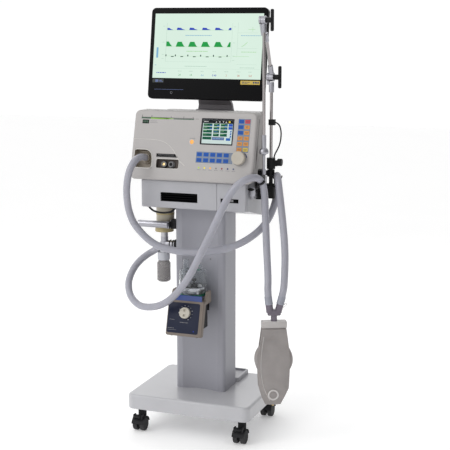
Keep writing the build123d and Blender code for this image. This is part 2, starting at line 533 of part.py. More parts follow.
MOUTH = (EXP_X - 28, EXP_Y, TEE_Z - 19.5)       # hose mouth of the tee, pointing down and outwards
TRAP_X, TRAP_Z = EXP_X - 4, 6.0                 # trap axis and its rise over the drawing heights
tee = rod(MOUTH, (EXP_X, EXP_Y, TEE_Z), 14) + ball((EXP_X, EXP_Y, TEE_Z), 15)
tee += rod((EXP_X, EXP_Y, TEE_Z), (-108, EXP_Y, TEE_Z), 14)
tee += rod((-110, EXP_Y, TEE_Z), (-COLUMN_X, EXP_Y, TEE_Z), 18)
tee += rod((EXP_X, EXP_Y, TEE_Z), (EXP_X, EXP_Y, 694.7), 13.5)
tee += rod((TRAP_X, EXP_Y, 634), (TRAP_X, EXP_Y, TEE_Z), 10)
tee -= rod(MOUTH, (EXP_X, EXP_Y, TEE_Z), 9)
cap = Pos(TRAP_X, EXP_Y, 616 + TRAP_Z) * fillet(Cylinder(21.5, 28).edges(), 1.5)
cap = cap - Pos(TRAP_X, EXP_Y, 611 + TRAP_Z) * Cylinder(18.3, 20)
save("water_trap_valve", tee + cap)

with BuildSketch(Plane.XZ) as bottle_section:
    with BuildLine():
        Polyline((0, 523), (20, 523), (25, 528), (25, 590), (18, 602), (18, 618), (16, 618), (16, 601),
                 (23, 588.5), (23, 529), (19.2, 525), (0, 525), (0, 523))
    make_face()
bottle = Pos(TRAP_X, EXP_Y, TRAP_Z) * revolve(bottle_section.sketch, Axis.Z)
save("water_trap_bottle", bottle)

# ---------------------------------------------------------------- Y-piece and test lung
wye_y = LUNG_Y


def on_lung(u, w, z):
    """Point in the hanging frame: u across, w towards the back."""
    yaw = radians(LUNG_YAW)
    return (LUNG_X + u * cos(yaw) - w * sin(yaw), LUNG_Y + u * sin(yaw) + w * cos(yaw), z)


LEGS = [(on_lung(-14, 0, WYE_Z - 14), on_lung(-17.5, 0, WYE_Z + 16)),
        (on_lung(14, 0, WYE_Z - 14), on_lung(21.5, 0, WYE_Z + 16))]


def above(leg, distance):
    """Point on a leg's axis above its mouth, where the hose leaves it."""
    direction = (Vector(*leg[1]) - Vector(*leg[0])).normalized()
    return tuple(Vector(*leg[1]) + direction * distance)


wye = rod(on_lung(0, 0, 446), on_lung(0, 0, WYE_Z - 22), 10.8)
wye += LUNG * Pos(0, 0, WYE_Z - 14) * fillet(Box(46, 24, 22).edges(), 6)
for low, high in LEGS:
    wye += rod(low, high, 12.5)
save("y_piece", wye)

TOP_BAR, LUNG_FLOOR = 454.0, 158.0
bar = LUNG * fillet(span(-44, 44, -13, 13, TOP_BAR - 26, TOP_BAR - 1).edges(), 4)
bar -= rod(on_lung(0, 0, TOP_BAR - 24), on_lung(0, 0, TOP_BAR), 11.3)
outline = [(-42, 427), (42, 427), (50, 366), (52, 215), (24, LUNG_FLOOR), (-30, LUNG_FLOOR), (-52, 216),
           (-49, 364)]
with BuildSketch(Plane.XZ) as plate_sketch:
    Polygon(*outline, align=None)
front_leaf = LUNG * Pos(0, -12, 0) * extrude(plate_sketch.sketch, 5)
rear_leaf = LUNG * Pos(0, 25, 0) * extrude(plate_sketch.sketch, 5)
bellows = LUNG * Pos(0, 4, 315) * Rot(90, 0, 0) * fillet(Cylinder(66, 32.5).edges(), 6)
neck_block = LUNG * span(-30, 30, -12.5, 20.5, 372, 429)
button = LUNG * Pos(-2, -18, 192) * Rot(90, 0, 0) * Cylinder(19, 4)
nipple = rod(on_lung(-2, -4, 150), on_lung(-2, -4, 172), 5)
nipple += LUNG * span(-12, 8, -13, 21, 160, 200)
save("test_lung", bar + front_leaf + rear_leaf + bellows + neck_block + button + nipple)


# ---------------------------------------------------------------- breathing hoses and cables
def cord_path(name, route):
    """Straight runs joined by tangent arcs, each as large as its two runs allow."""
    pts = [Vector(*p) for p in route]
    radii = []
    for before, here, after in zip(pts, pts[1:], pts[2:]):
        turn = radians((here - before).get_angle(after - here))
        radii.append(0.45 * min((here - before).length, (after - here).length) / tan(turn / 2))
    path = FilletPolyline(*pts, radius=radii)
    print(name, "length", round(path.length), "tightest radii", [round(r) for r in sorted(radii)[:4]])
    return path


def save_cord(name, path, diameter):
    solid = sweep(Plane(origin=path @ 0, z_dir=path % 0) * Circle(diameter / 2), path=path)
    full = pi * diameter ** 2 / 4 * path.length
    print(name, "volume over section times length", round(solid.volume / full, 3))
    save(name, solid)


def on_vent(u, v, w):
    """Point on the ventilator's face as world coordinates."""
    p = VENT.from_local_coords(Vector(u, v, w))
    return (p.X, p.Y, p.Z)


INSPIRATORY = [
    on_vent(PORT_U, PORT_V, -12), on_vent(PORT_U, PORT_V, 40),
    (-200, -211, 968), (-213, -214, 900), (-213, -206, 832), (-200, -198, 778), (-174, -191, 741),
    (-138, -184, 706), (-92, -175, 683), (-8, -163, 670), (81, -149, 677), (164, -122, 700), (220, -84, 738),
    (249, -36, 780), (260, 12, 838), (263, 22, 898), (272, -14, 941), (289, -58, 939),
    (304, -82, 885), (321, -98, 795), (337, -116, 690), (340, -132, 590), above(LEGS[1], 42), LEGS[1][1],
]
EXPIRATORY = [
    MOUTH, (EXP_X - 44, EXP_Y, TEE_Z - 19.5 * 44 / 28), (-216, -34, 626), (-235, -55, 608), (-248, -80, 586),
    (-253, -106, 560), (-249, -135, 533),
    (-228, -165, 497), (-183, -190, 471), (-129, -206, 473), (-70, -218, 494), (-18, -222, 540),
    (26, -220, 602), (64, -215, 680), (103, -210, 760), (137, -204, 836), (168, -196, 900),
    (204, -182, 938), (235, -150, 948), (248, -108, 931), (250, -82, 885), (257, -92, 800),
    (268, -110, 690), (282, -133, 590), above(LEGS[0], 42), LEGS[0][1],
]
CABINET_CABLE = [(-178, -101, 815.6), (-170, -101, 806), (-154, -101, 798), (-127, -101, 795),
                 (-100, -101, 798), (-84, -101, 806), (-76, -101, 815.6)]
ARM_CABLE = [(POST_X + 15, POST_Y, 1122), (POST_X + 25, POST_Y, 1118), (POST_X + 32, POST_Y + 2, 1107),
             (POST_X + 35, POST_Y + 6, 1084), (POST_X + 31, POST_Y + 8, 1050), (POST_X + 20, POST_Y + 6, 1024),
             (POST_X + 12, POST_Y + 3, 1010), (POST_X + 11, POST_Y + 1, 999)]

insp_path = cord_path("inspiratory_hose", INSPIRATORY)
exp_path = cord_path("expiratory_hose", EXPIRATORY)
save_cord("inspiratory_hose", insp_path, HOSE_D)
save_cord("expiratory_hose", exp_path, HOSE_D)
save_cord("cabinet_cable", cord_path("cabinet_cable", CABINET_CABLE), 7.0)
save_cord("arm_cable", cord_path("arm_cable", ARM_CABLE), 5.0)


# ---------------------------------------------------------------- fixed post with the hose holder
def hook(path, t, via):
    """Open cradle under a hose at path position t, and the bent bar that carries it from the post."""
    centre, along = path @ t, path % t
    frame = Plane(origin=centre, x_dir=Vector(0, 0, 1).cross(along), z_dir=along)
    cradle = extrude(frame * (Circle(17.5) - Circle(14)), 4, both=True)
    cradle -= extrude(frame * Pos(0, 16) * Rectangle(60, 32), 8, both=True)
    stops = [(POST_X, POST_Y, via[0][2])] + via + [centre - frame.y_dir * 16]
    for start, end in zip(stops, stops[1:]):
        cradle += rod(start, end, 3.5)
    for corner in via:
        cradle += ball(corner, 3.5)
    return cradle


post = rod((POST_X, POST_Y, 856), (POST_X, POST_Y, 976), POST_R)
post += pill(POST_X - 14, POST_X + 14, POST_Y - 10, POST_Y + 7, 856, 908, 5)
post += hook(exp_path, 0.7, [(229.5, -60, 902), (229.5, -114, 902)])
post += hook(insp_path, 0.7, [(278, -34, 900)])
save("accessory_post", post)
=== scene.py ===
"""Looks of the intensive-care ventilator cart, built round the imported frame.

Face coordinates are millimetres.
"""
import math

import bmesh
import bpy
from mathutils import Matrix, Vector


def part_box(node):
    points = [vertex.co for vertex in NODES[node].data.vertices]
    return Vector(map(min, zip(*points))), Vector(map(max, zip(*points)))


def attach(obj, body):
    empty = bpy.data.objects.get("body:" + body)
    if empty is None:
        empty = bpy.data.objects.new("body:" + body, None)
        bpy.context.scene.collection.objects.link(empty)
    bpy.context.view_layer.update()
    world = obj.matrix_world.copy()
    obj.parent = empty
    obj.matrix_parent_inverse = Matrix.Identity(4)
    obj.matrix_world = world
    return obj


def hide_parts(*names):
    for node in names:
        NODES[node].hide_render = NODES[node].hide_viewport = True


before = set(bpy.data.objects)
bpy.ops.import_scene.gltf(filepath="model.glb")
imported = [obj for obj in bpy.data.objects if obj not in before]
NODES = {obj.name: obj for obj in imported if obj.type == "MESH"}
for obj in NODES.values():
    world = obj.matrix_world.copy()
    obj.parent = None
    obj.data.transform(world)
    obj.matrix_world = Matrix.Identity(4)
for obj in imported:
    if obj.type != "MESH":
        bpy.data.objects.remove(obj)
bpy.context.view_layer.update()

slab_lo, slab_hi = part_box("base_slab")
CART = Vector(((slab_lo.x + slab_hi.x) / 2, (slab_lo.y + slab_hi.y) / 2, 0.0))    # cart's own centre line


# ---------------------------------------------------------------- frames and camera
def at(x, y, z):
    """Point given in millimetres from the cart's centre line."""
    return CART + Vector((x, y, z)) / 1000


def upright(x, y, z):
    """Matrix from upright millimetres about a point of the cart to the frame."""
    return Matrix.Translation(at(x, y, z)) @ Matrix.Scale(0.001, 4)


def face(x, y, z, lean=0.0, yaw=0.0):
    """Matrix from a face's own millimetres (across, up, outward) to the frame."""
    a = math.radians(lean)
    axes = Matrix(((1, 0, 0), (0, math.sin(a), -math.cos(a)), (0, math.cos(a), math.sin(a))))
    turned = Matrix.Rotation(math.radians(yaw), 3, "Z") @ axes
    return Matrix.Translation(at(x, y, z)) @ turned.to_4x4() @ Matrix.Scale(0.001, 4)


LUNG_X, LUNG_Y, LUNG_YAW = 309, -150, 24
VENT = face(0, -147.4, 918.0, 15.06)
MON = face(0, -12.3, 1193.5, 9.1)
HUM = face(-8, -204, 380, 15.7)
FASCIA = face(0, -126.4, 0)
LUNG = face(LUNG_X, LUNG_Y, 0, 0, LUNG_YAW)
WORLD = Matrix.Translation(CART) @ Matrix.Scale(0.001, 4)

camera_data = bpy.data.cameras.new("camera")
camera_data.lens = 90.74
camera_data.sensor_width = 36.0
camera_data.clip_end = 50.0
camera = bpy.data.objects.new("camera", camera_data)
camera.location = at(1470.1, -3750.9, 1467.0)
camera.rotation_euler = (math.radians(90 - 10.1995), 0.0, math.radians(20.42))
bpy.context.scene.collection.objects.link(camera)
bpy.context.scene.camera = camera


# ---------------------------------------------------------------- materials
def material(name, colour, rough=0.45, metal=0.0, vary=0.06, patch=14.0, grain=900.0, bump=0.06, coat=0.0,
             clear=0.0, glow=0.0, ior=1.46, crease_shade=0.0, soft=0.0, shine=0.5):
    """Principled surface with drifting colour, uneven roughness and a fine grain, all from noise, and painted
    shade in hollow creases.
    """
    mat = bpy.data.materials.new(name)
    mat.use_nodes = True
    tree = mat.node_tree
    shader = tree.nodes["Principled BSDF"]
    new, link = tree.nodes.new, tree.links.new
    place = new("ShaderNodeTexCoord")
    broad = new("ShaderNodeTexNoise")
    broad.inputs["Scale"].default_value = patch
    broad.inputs["Detail"].default_value = 5.0
    link(place.outputs["Object"], broad.inputs["Vector"])
    tint = new("ShaderNodeValToRGB")
    tint.color_ramp.elements[0].position = 0.3
    tint.color_ramp.elements[1].position = 0.7
    tint.color_ramp.elements[0].color = [c * (1 - vary) for c in colour] + [1]
    tint.color_ramp.elements[1].color = [min(1.0, c * (1 + vary)) for c in colour] + [1]
    link(broad.outputs["Fac"], tint.inputs["Fac"])
    result = tint.outputs["Color"]
    # painted shade: faces in hollow creases (low pointiness) darken towards 0.45 of the colour, by the
    # crease_shade amount
    if crease_shade:
        edges = new("ShaderNodeNewGeometry")
        ramp = new("ShaderNodeValToRGB")
        ramp.color_ramp.elements[0].position = 0.42
        ramp.color_ramp.elements[1].position = 0.5
        ramp.color_ramp.elements[0].color = (crease_shade, crease_shade, crease_shade, 1)
        ramp.color_ramp.elements[1].color = (0, 0, 0, 1)
        link(edges.outputs["Pointiness"], ramp.inputs["Fac"])
        crease_shade_mix = new("ShaderNodeMixRGB")
        crease_shade_mix.inputs["Color2"].default_value = [c * 0.45 for c in colour] + [1]
        link(ramp.outputs["Color"], crease_shade_mix.inputs["Fac"])
        link(result, crease_shade_mix.inputs["Color1"])
        result = crease_shade_mix.outputs["Color"]
    fine = new("ShaderNodeTexNoise")
    fine.inputs["Scale"].default_value = grain
    fine.inputs["Detail"].default_value = 3.0
    link(place.outputs["Object"], fine.inputs["Vector"])
    spread = new("ShaderNodeMapRange")
    spread.inputs["To Min"].default_value = max(0.02, rough * 0.8)
    spread.inputs["To Max"].default_value = min(1.0, rough * 1.25)
    link(broad.outputs["Fac"], spread.inputs["Value"])
    link(spread.outputs["Result"], shader.inputs["Roughness"])
    relief = new("ShaderNodeBump")
    relief.inputs["Strength"].default_value = bump
    relief.inputs["Distance"].default_value = 0.0004
    link(fine.outputs["Fac"], relief.inputs["Height"])
    link(relief.outputs["Normal"], shader.inputs["Normal"])
    shader.inputs["Metallic"].default_value = metal
    shader.inputs["Coat Weight"].default_value = coat
    shader.inputs["Transmission Weight"].default_value = clear
    shader.inputs["IOR"].default_value = ior
    shader.inputs["Subsurface Weight"].default_value = soft
    shader.inputs["Subsurface Radius"].default_value = (0.01, 0.008, 0.007)
    shader.inputs["Specular IOR Level"].default_value = shine
    if glow:
        link(result, shader.inputs["Emission Color"])
        shader.inputs["Emission Strength"].default_value = glow
        shader.inputs["Base Color"].default_value = (0.01, 0.01, 0.01, 1)
    else:
        link(result, shader.inputs["Base Color"])
    return mat


# crease_shade below sets how much painted shade darkens each material's hollow creases
SHELL = material("shell_white", (0.397, 0.397, 0.422), 0.38, crease_shade=0.25, coat=0.2, vary=0.03)
SHELL_BASE = material("base_paint", (0.474, 0.474, 0.496), 0.32, crease_shade=0.3, coat=0.35, vary=0.03)
COLUMN_PAINT = material("column_paint", (0.31, 0.31, 0.347), 0.4, crease_shade=0.2, vary=0.04, patch=6)
BEZEL = material("bezel_cream", (0.42, 0.402, 0.395), 0.5, bump=0.15, grain=1600, crease_shade=0.3, vary=0.025)
# the bezel's cream darkened by about a quarter: painted shade on the whole housing
HOUSING_SHADED = material("housing_cream_shaded", (0.322, 0.308, 0.301), 0.5, bump=0.15, grain=1600, crease_shade=0.3, vary=0.03)
RECESS = material("recess_beige", (0.375, 0.33, 0.27), 0.55, vary=0.05)
# lighter than the bezel: painted highlight for raised rims, the face ridge, the alarm collar and the keypad
# frames
RIM_HIGHLIGHT = material("recess_rim_highlight", (0.608, 0.593, 0.562), 0.45)
SOCKET_WELL = material("socket_well", (0.13, 0.11, 0.10), 0.5, shine=0.2)
GLOSS_BLACK = material("gloss_black", (0.003, 0.003, 0.0035), 0.3, shine=0.06, bump=0.01)
MATT_BLACK = material("matt_black", (0.010, 0.010, 0.011), 0.5, shine=0.25, bump=0.2)
SOFT_BLACK = material("soft_black", (0.018, 0.018, 0.020), 0.6, shine=0.25, bump=0.25)
RUBBER = material("rubber_black", (0.012, 0.012, 0.014), 0.5, shine=0.3, bump=0.2)
TYRE = material("tyre_black", (0.028, 0.028, 0.03), 0.7, bump=0.3, vary=0.15)
CHROME = material("chrome", (0.391, 0.365, 0.365), 0.14, 1.0, bump=0.02, vary=0.04, patch=60)
SATIN = material("aluminium_satin", (0.391, 0.391, 0.425), 0.34, 1.0, bump=0.08, grain=2500, vary=0.08)
STEEL = material("brushed_steel", (0.475, 0.475, 0.494), 0.28, 1.0, bump=0.12, grain=3000, vary=0.1)
STAND_GREY = material("stand_grey", (0.264, 0.248, 0.264), 0.45, 0.2, bump=0.1)
BEIGE = material("humidifier_taupe", (0.188, 0.156, 0.132), 0.5, crease_shade=0.3, vary=0.06, bump=0.15)
NAVY = material("panel_navy", (0.016, 0.020, 0.042), 0.4, shine=0.2)
DIAL = material("dial_ivory", (0.495, 0.465, 0.398), 0.4, crease_shade=0.4)
KNOB = material("knob_cream", (0.45, 0.413, 0.352), 0.5, crease_shade=0.3)
GUARD = material("guard_blue", (0.036, 0.068, 0.24), 0.4, coat=0.2)
CLEAR = material("clear_plastic", (0.93, 0.95, 0.96), 0.04, clear=0.97, bump=0.01, ior=1.14, vary=0.01)
BOTTLE = material("bottle_clear", (0.496, 0.48, 0.48), 0.12, clear=0.72, bump=0.03, ior=1.30, vary=0.05)
CANISTER = material("canister_cream", (0.452, 0.413, 0.328), 0.35, coat=0.3, crease_shade=0.2)
CANISTER_RIM = material("canister_rim", (0.416, 0.344, 0.176), 0.35, coat=0.2)
CAP_WHITE = material("cap_white", (0.561, 0.57, 0.612), 0.4)
HOSE = material("hose_milky", (0.35, 0.35, 0.399), 0.34, soft=0.25, coat=0.25, bump=0.05, vary=0.05, patch=20)
CUFF = material("hose_cuff", (0.302, 0.31, 0.36), 0.4, soft=0.15)
WYE = material("wye_smoke", (0.15, 0.124, 0.165), 0.25, coat=0.4, clear=0.25)
LUNG_LEAF = material("lung_leaf", (0.288, 0.266, 0.259), 0.42, soft=0.3, vary=0.08, patch=25)
LUNG_BAR = material("lung_bar", (0.465, 0.443, 0.435), 0.4, soft=0.2)
LUNG_RING = material("lung_ring", (0.56, 0.536, 0.528), 0.35)
BRASS = material("brass", (0.62, 0.47, 0.24), 0.3, 1.0, bump=0.05)
SEAL_GREEN = material("seal_green", (0.03, 0.20, 0.12), 0.4)
BOARD = material("board_green", (0.02, 0.12, 0.06), 0.5)
OVERLAY = material("key_overlay", (0.176, 0.216, 0.288), 0.45)
KEY_BLUE = material("key_blue", (0.009, 0.085, 0.391), 0.4, shine=0.2)
KEY_ORANGE = material("key_orange", (0.561, 0.23, 0.025), 0.4)
KEY_RED = material("key_red", (0.476, 0.03, 0.043), 0.4)
KEY_YELLOW = material("key_yellow", (0.578, 0.425, 0.051), 0.4)
KEY_MARK = material("key_mark", (0.02, 0.04, 0.12), 0.5)
SCREEN = material("screen_lit", (0.70, 0.86, 0.75), 0.5, glow=1.0, shine=0.05, vary=0.035, patch=3.0,
                  bump=0.0)
LCD_WHITE = material("lcd_white", (0.60, 0.72, 0.70), 0.5, glow=1.0, shine=0.05, bump=0.0)
LCD_FRAME = material("lcd_frame", (0.02, 0.02, 0.025), 0.4, shine=0.2)
INK = material("ink_dark", (0.02, 0.025, 0.022), 0.5)
INK_GREY = material("ink_grey", (0.20, 0.20, 0.21), 0.5)
PALE = material("ink_pale", (0.56, 0.56, 0.56), 0.5)


def ink(name, colour):
    """Lit colour of a display element."""
    return material(name, colour, 0.5, glow=1.0, shine=0.05, vary=0.03, patch=80, bump=0.0)


LIT_BLUE = ink("lit_blue", (0.03, 0.06, 0.48))
LIT_GREEN = ink("lit_green", (0.01, 0.32, 0.06))
LIT_DARK = ink("lit_dark", (0.03, 0.07, 0.06))
LIT_FAINT = ink("lit_faint", (0.44, 0.60, 0.50))
LIT_SKY = ink("lit_sky", (0.20, 0.42, 0.62))
LIT_LIME = ink("lit_lime", (0.36, 0.66, 0.30))
LIT_RED = ink("lit_red", (0.52, 0.14, 0.08))
CELL = ink("cell_green", (0.004, 0.085, 0.045))
CELL_BLUE = ink("cell_blue", (0.02, 0.12, 0.42))
CELL_SLATE = ink("cell_slate", (0.09, 0.12, 0.28))
LCD_BAR = ink("lcd_bar", (0.004, 0.006, 0.008))
LCD_WARN = ink("lcd_warn", (0.75, 0.55, 0.04))
STRIPE_GREEN = material("stripe_green", (0.212, 0.442, 0.051), 0.45)
STRIPE_DARK = material("stripe_dark", (0.03, 0.09, 0.05), 0.45)
STICKER = material("sticker_blue", (0.08, 0.12, 0.28), 0.4)
STRIP_YELLOW = material("strip_yellow", (0.56, 0.40, 0.06), 0.4)


# ---------------------------------------------------------------- mesh helpers
def finish_mesh(name, bm, matrix, mat, body, slot=None, replaces=(), sharp=35.0):
    """Turns a bmesh in face millimetres into a named piece that rides on a body."""
    bmesh.ops.remove_doubles(bm, verts=bm.verts, dist=1e-5)
    bmesh.ops.recalc_face_normals(bm, faces=bm.faces)
    for poly in bm.faces:
        poly.smooth = True
    limit = math.radians(sharp)
    for edge in bm.edges:
        if len(edge.link_faces) == 2 and edge.calc_face_angle(0) > limit:
            edge.smooth = False
    mesh = bpy.data.meshes.new(name)
    bm.to_mesh(mesh)
    bm.free()
    mesh.transform(matrix)
    mesh.materials.append(mat)
    obj = bpy.data.objects.new(name, mesh)
    bpy.context.scene.collection.objects.link(obj)
    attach(obj, body)
    if replaces:
        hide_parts(*replaces)
    return obj


def prism(bm, outline, w0, w1, edge=0.0, seg=2):
    """Closed prism over an outline, its outer rim rounded by edge."""
    low = [bm.verts.new((u, v, w0)) for u, v in outline]
    high = [bm.verts.new((u, v, w1)) for u, v in outline]
    bm.faces.new(low[::-1])
    top = bm.faces.new(high)
    count = len(outline)
    for i in range(count):
        bm.faces.new((low[i], low[(i + 1) % count], high[(i + 1) % count], high[i]))
    if edge:
        bmesh.ops.bevel(bm, geom=list(top.edges), offset=edge, segments=seg, profile=0.5, affect="EDGES")


def rounded(u0, u1, v0, v1, r, seg=5):
    """Outline of a rectangle with round corners."""
    r = min(r, (u1 - u0) / 2 - 1e-3, (v1 - v0) / 2 - 1e-3)
    points = []
    for cu, cv, start in ((u1 - r, v1 - r, 0), (u0 + r, v1 - r, 90), (u0 + r, v0 + r, 180),
                          (u1 - r, v0 + r, 270)):
        for i in range(seg + 1):
            a = math.radians(start + 90 * i / seg)
            points.append((cu + r * math.cos(a), cv + r * math.sin(a)))
    return points


def box(u0, u1, v0, v1):
    return [(u0, v0), (u1, v0), (u1, v1), (u0, v1)]


def sector(cu, cv, r0, r1, a0, a1, seg=24):
    """Outline of part of a ring, angles in degrees."""
    turn = [math.radians(a0 + (a1 - a0) * i / seg) for i in range(seg + 1)]
    return [(cu + r1 * math.cos(a), cv + r1 * math.sin(a)) for a in turn] + \
        [(cu + r0 * math.cos(a), cv + r0 * math.sin(a)) for a in reversed(turn)]


def disc(cu, cv, r, seg=32):
    return [(cu + r * math.cos(2 * math.pi * i / seg), cv + r * math.sin(2 * math.pi * i / seg))
            for i in range(seg)]


def flat_marks(name, outlines, mat, body, matrix, w0, thick=0.15, **more):
    """Thin flat shapes on a face, all of one colour: mostly print, also painted shadow and painted highlight
    marks.
    """
    bm = bmesh.new()
    for outline in outlines:
        prism(bm, outline, w0, w0 + thick)
    return finish_mesh(name, bm, matrix, mat, body, **more)


def plate(name, outline, w0, w1, edge, mat, body, matrix, **more):
    bm = bmesh.new()
    prism(bm, outline, w0, w1, edge, 3)
    return finish_mesh(name, bm, matrix, mat, body, **more)


def lathe(name, profile, mat, body, matrix, seg=48, **more):
    """Surface of revolution about the local third axis; profile is (radius, height) from bottom to top."""
    bm = bmesh.new()
    rings = []
    for r, h in profile:
        if r < 1e-6:
            rings.append([bm.verts.new((0, 0, h))])
        else:
            rings.append([bm.verts.new((r * math.cos(2 * math.pi * i / seg),
                                        r * math.sin(2 * math.pi * i / seg), h))
                          for i in range(seg)])
    for low, high in zip(rings, rings[1:]):
        for i in range(seg):
            j = (i + 1) % seg
            ring = [low[i % len(low)], low[j % len(low)], high[j % len(high)], high[i % len(high)]]
            corners = list(dict.fromkeys(ring))
            if len(corners) > 2:
                bm.faces.new(corners)
    for ring, flip in ((rings[0], True), (rings[-1], False)):
        if len(ring) > 1:
            bm.faces.new(ring[::-1] if flip else ring)
    return finish_mesh(name, bm, matrix, mat, body, **more)


def line(name, points, r, mat, body, matrix, closed=False, order=3, res=8, **more):
    """Round bar of radius r along a smooth line through face millimetres, as a mesh."""
    curve = bpy.data.curves.new(name, "CURVE")
    curve.dimensions = "3D"
    curve.bevel_depth = r
    curve.bevel_resolution = 4
    curve.resolution_u = res
    curve.use_fill_caps = not closed
    spline = curve.splines.new("NURBS")
    spline.points.add(len(points) - 1)
    for point, place in zip(spline.points, points):
        point.co = (*place, 1)
    spline.order_u = order
    spline.use_endpoint_u = not closed
    spline.use_cyclic_u = closed
    obj = bpy.data.objects.new(name + "_line", curve)
    bpy.context.scene.collection.objects.link(obj)
    bpy.context.view_layer.update()
    mesh = bpy.data.meshes.new_from_object(obj.evaluated_get(bpy.context.evaluated_depsgraph_get()))
    bpy.data.objects.remove(obj)
    bm = bmesh.new()
    bm.from_mesh(mesh)
    bpy.data.meshes.remove(mesh)
    return finish_mesh(name, bm, matrix, mat, body, **more)


def text(name, words, u, v, w, size, mat, body, matrix):
    """Generic figures on a display."""
    curve = bpy.data.curves.new(name, "FONT")
    curve.body = words
    curve.size = size
    curve.extrude = 0.05
    curve.align_x = "CENTER"
    obj = bpy.data.objects.new(name + "_text", curve)
    bpy.context.scene.collection.objects.link(obj)
    bpy.context.view_layer.update()
    mesh = bpy.data.meshes.new_from_object(obj.evaluated_get(bpy.context.evaluated_depsgraph_get()))
    bpy.data.objects.remove(obj)
    bm = bmesh.new()
    bm.from_mesh(mesh)
    bpy.data.meshes.remove(mesh)
    return finish_mesh(name, bm, matrix @ Matrix.Translation((u, v, w)), mat, body)


def dashes(u0, u1, v, height, seed):
    """Row of short bars that stands for a line of small print; on the slot panel it stands for a broken
    painted highlight.
    """
    out, u, step = [], u0, seed
    while u < u1 - height:
        step = (step * 37 + 11) % 23
        width = height * (1.2 + step / 9)
        out.append(box(u, min(u + width, u1), v - height / 2, v + height / 2))
        u += width + height * 0.7
    return out


def paint(node, base, *rules):
    """Gives a CAD node its material; each rule is (material, test of a face's centre in cart millimetres)."""
    mesh = NODES[node].data
    mesh.materials.clear()
    for mat in [base] + [rule[0] for rule in rules]:
        mesh.materials.append(mat)
    if not rules:
        for poly in mesh.polygons:
            poly.material_index = 0
        return
    for poly in mesh.polygons:
        centre = (poly.center - CART) * 1000
        normal = poly.normal
        poly.material_index = 0
        for index, (_, test) in enumerate(rules, 1):
            if test(centre, normal):
                poly.material_index = index
                break


def on_face(matrix, centre):
    """A point in cart millimetres as face millimetres."""
    return matrix.inverted() @ (CART + centre / 1000)


# ---------------------------------------------------------------- breathing hoses and cables
def cord_curve(name, points, diameter, mat, res=12):
    """NURBS line through the route's own points, in cart millimetres."""
    curve = bpy.data.curves.new(name, "CURVE")
    curve.dimensions = "3D"
    curve.bevel_depth = diameter / 2000
    curve.bevel_resolution = 8
    curve.resolution_u = res
    curve.use_fill_caps = True
    spline = curve.splines.new("NURBS")
    spline.points.add(len(points) - 1)
    for point, place in zip(spline.points, points):
        point.co = (*at(*place), 1)
    spline.order_u = 3
    spline.use_endpoint_u = True
    curve.materials.append(mat)
    obj = bpy.data.objects.new(name, curve)
    bpy.context.scene.collection.objects.link(obj)
    return obj


def on_vent(u, v, w):
    return tuple((VENT @ Vector((u, v, w)) - CART) * 1000)


def on_lung(u, w, z):
    """Point in the hanging frame: u across, w towards the back."""
    yaw = math.radians(LUNG_YAW)
    return (LUNG_X + u * math.cos(yaw) - w * math.sin(yaw),
            LUNG_Y + u * math.sin(yaw) + w * math.cos(yaw), z)


def above(low, high, distance):
    """Point on a leg's axis above its mouth."""
    low, high = Vector(low), Vector(high)
    return tuple(high + (high - low).normalized() * distance)


LEG_A = (on_lung(-14, 0, 483), on_lung(-17.5, 0, 513))
LEG_B = (on_lung(14, 0, 483), on_lung(21.5, 0, 513))
PORT_U, PORT_V = -184.0, 80.0
EXP_Y, TEE_Z = -22.0, 668.0
INSPIRATORY = [
    on_vent(PORT_U, PORT_V, -12), on_vent(PORT_U, PORT_V, 40),
    (-200, -211, 968), (-213, -214, 900), (-213, -206, 832), (-200, -198, 778), (-174, -191, 741),
    (-138, -184, 706), (-92, -175, 683), (-8, -163, 670), (81, -149, 677), (164, -122, 700), (220, -84, 738),
    (249, -36, 780), (260, 12, 838), (263, 22, 898), (272, -14, 941), (289, -58, 939),
    (304, -82, 885), (321, -98, 795), (337, -116, 690), (340, -132, 590), above(*LEG_B, 42), LEG_B[1],
]
EXPIRATORY = [
    (-181, EXP_Y, TEE_Z - 19.5), (-197, EXP_Y, TEE_Z - 19.5 * 44 / 28), (-216, -34, 626), (-235, -55, 608),
    (-248, -80, 586), (-253, -106, 560), (-249, -135, 533), (-228, -165, 497), (-183, -190, 471),
    (-129, -206, 473),
    (-70, -218, 494), (-18, -222, 540), (26, -220, 602), (64, -215, 680), (103, -210, 760),
    (137, -204, 836), (168, -196, 900), (204, -182, 938), (235, -150, 948), (248, -108, 931),
    (250, -82, 885), (257, -92, 800), (268, -110, 690), (282, -133, 590), above(*LEG_A, 42), LEG_A[1],
]
CABINET_CABLE = [(-178, -101, 815.6), (-170, -101, 806), (-154, -101, 798), (-127, -101, 795),
                 (-100, -101, 798), (-84, -101, 806), (-76, -101, 815.6)]
POST_X, POST_Y = 250.0, -14.5
ARM_CABLE = [(POST_X + 15, POST_Y, 1122), (POST_X + 25, POST_Y, 1118), (POST_X + 32, POST_Y + 2, 1107),
             (POST_X + 35, POST_Y + 6, 1084), (POST_X + 31, POST_Y + 8, 1050),
             (POST_X + 20, POST_Y + 6, 1024),
             (POST_X + 12, POST_Y + 3, 1010), (POST_X + 11, POST_Y + 1, 999)]


def cuff(name, low, high, back, ahead, r):
    """Hose end that grips a connector, as a ribbed sleeve round the hose."""
    low, high = at(*low), at(*high)
    turn = (high - low).to_track_quat("Z", "Y").to_matrix().to_4x4()
    matrix = Matrix.Translation(high) @ turn @ Matrix.Scale(0.001, 4)
    profile = [(r - 1.2, -back), (r + 0.4, -back), (r + 0.9, -back + 1.2), (r + 0.9, -back + 3.2),
               (r + 0.2, -back + 4.4),
               (r + 0.2, ahead - 3), (r - 0.3, ahead), (r - 1.2, ahead), (r - 1.2, -back)]
    return lathe(name, profile, CUFF, "cart", matrix, slot="hose_grey")


cuff_a = cuff("wye_cuff_a", *LEG_A, 2, 26, 13.0)
cuff_b = cuff("wye_cuff_b", *LEG_B, 2, 26, 13.0)

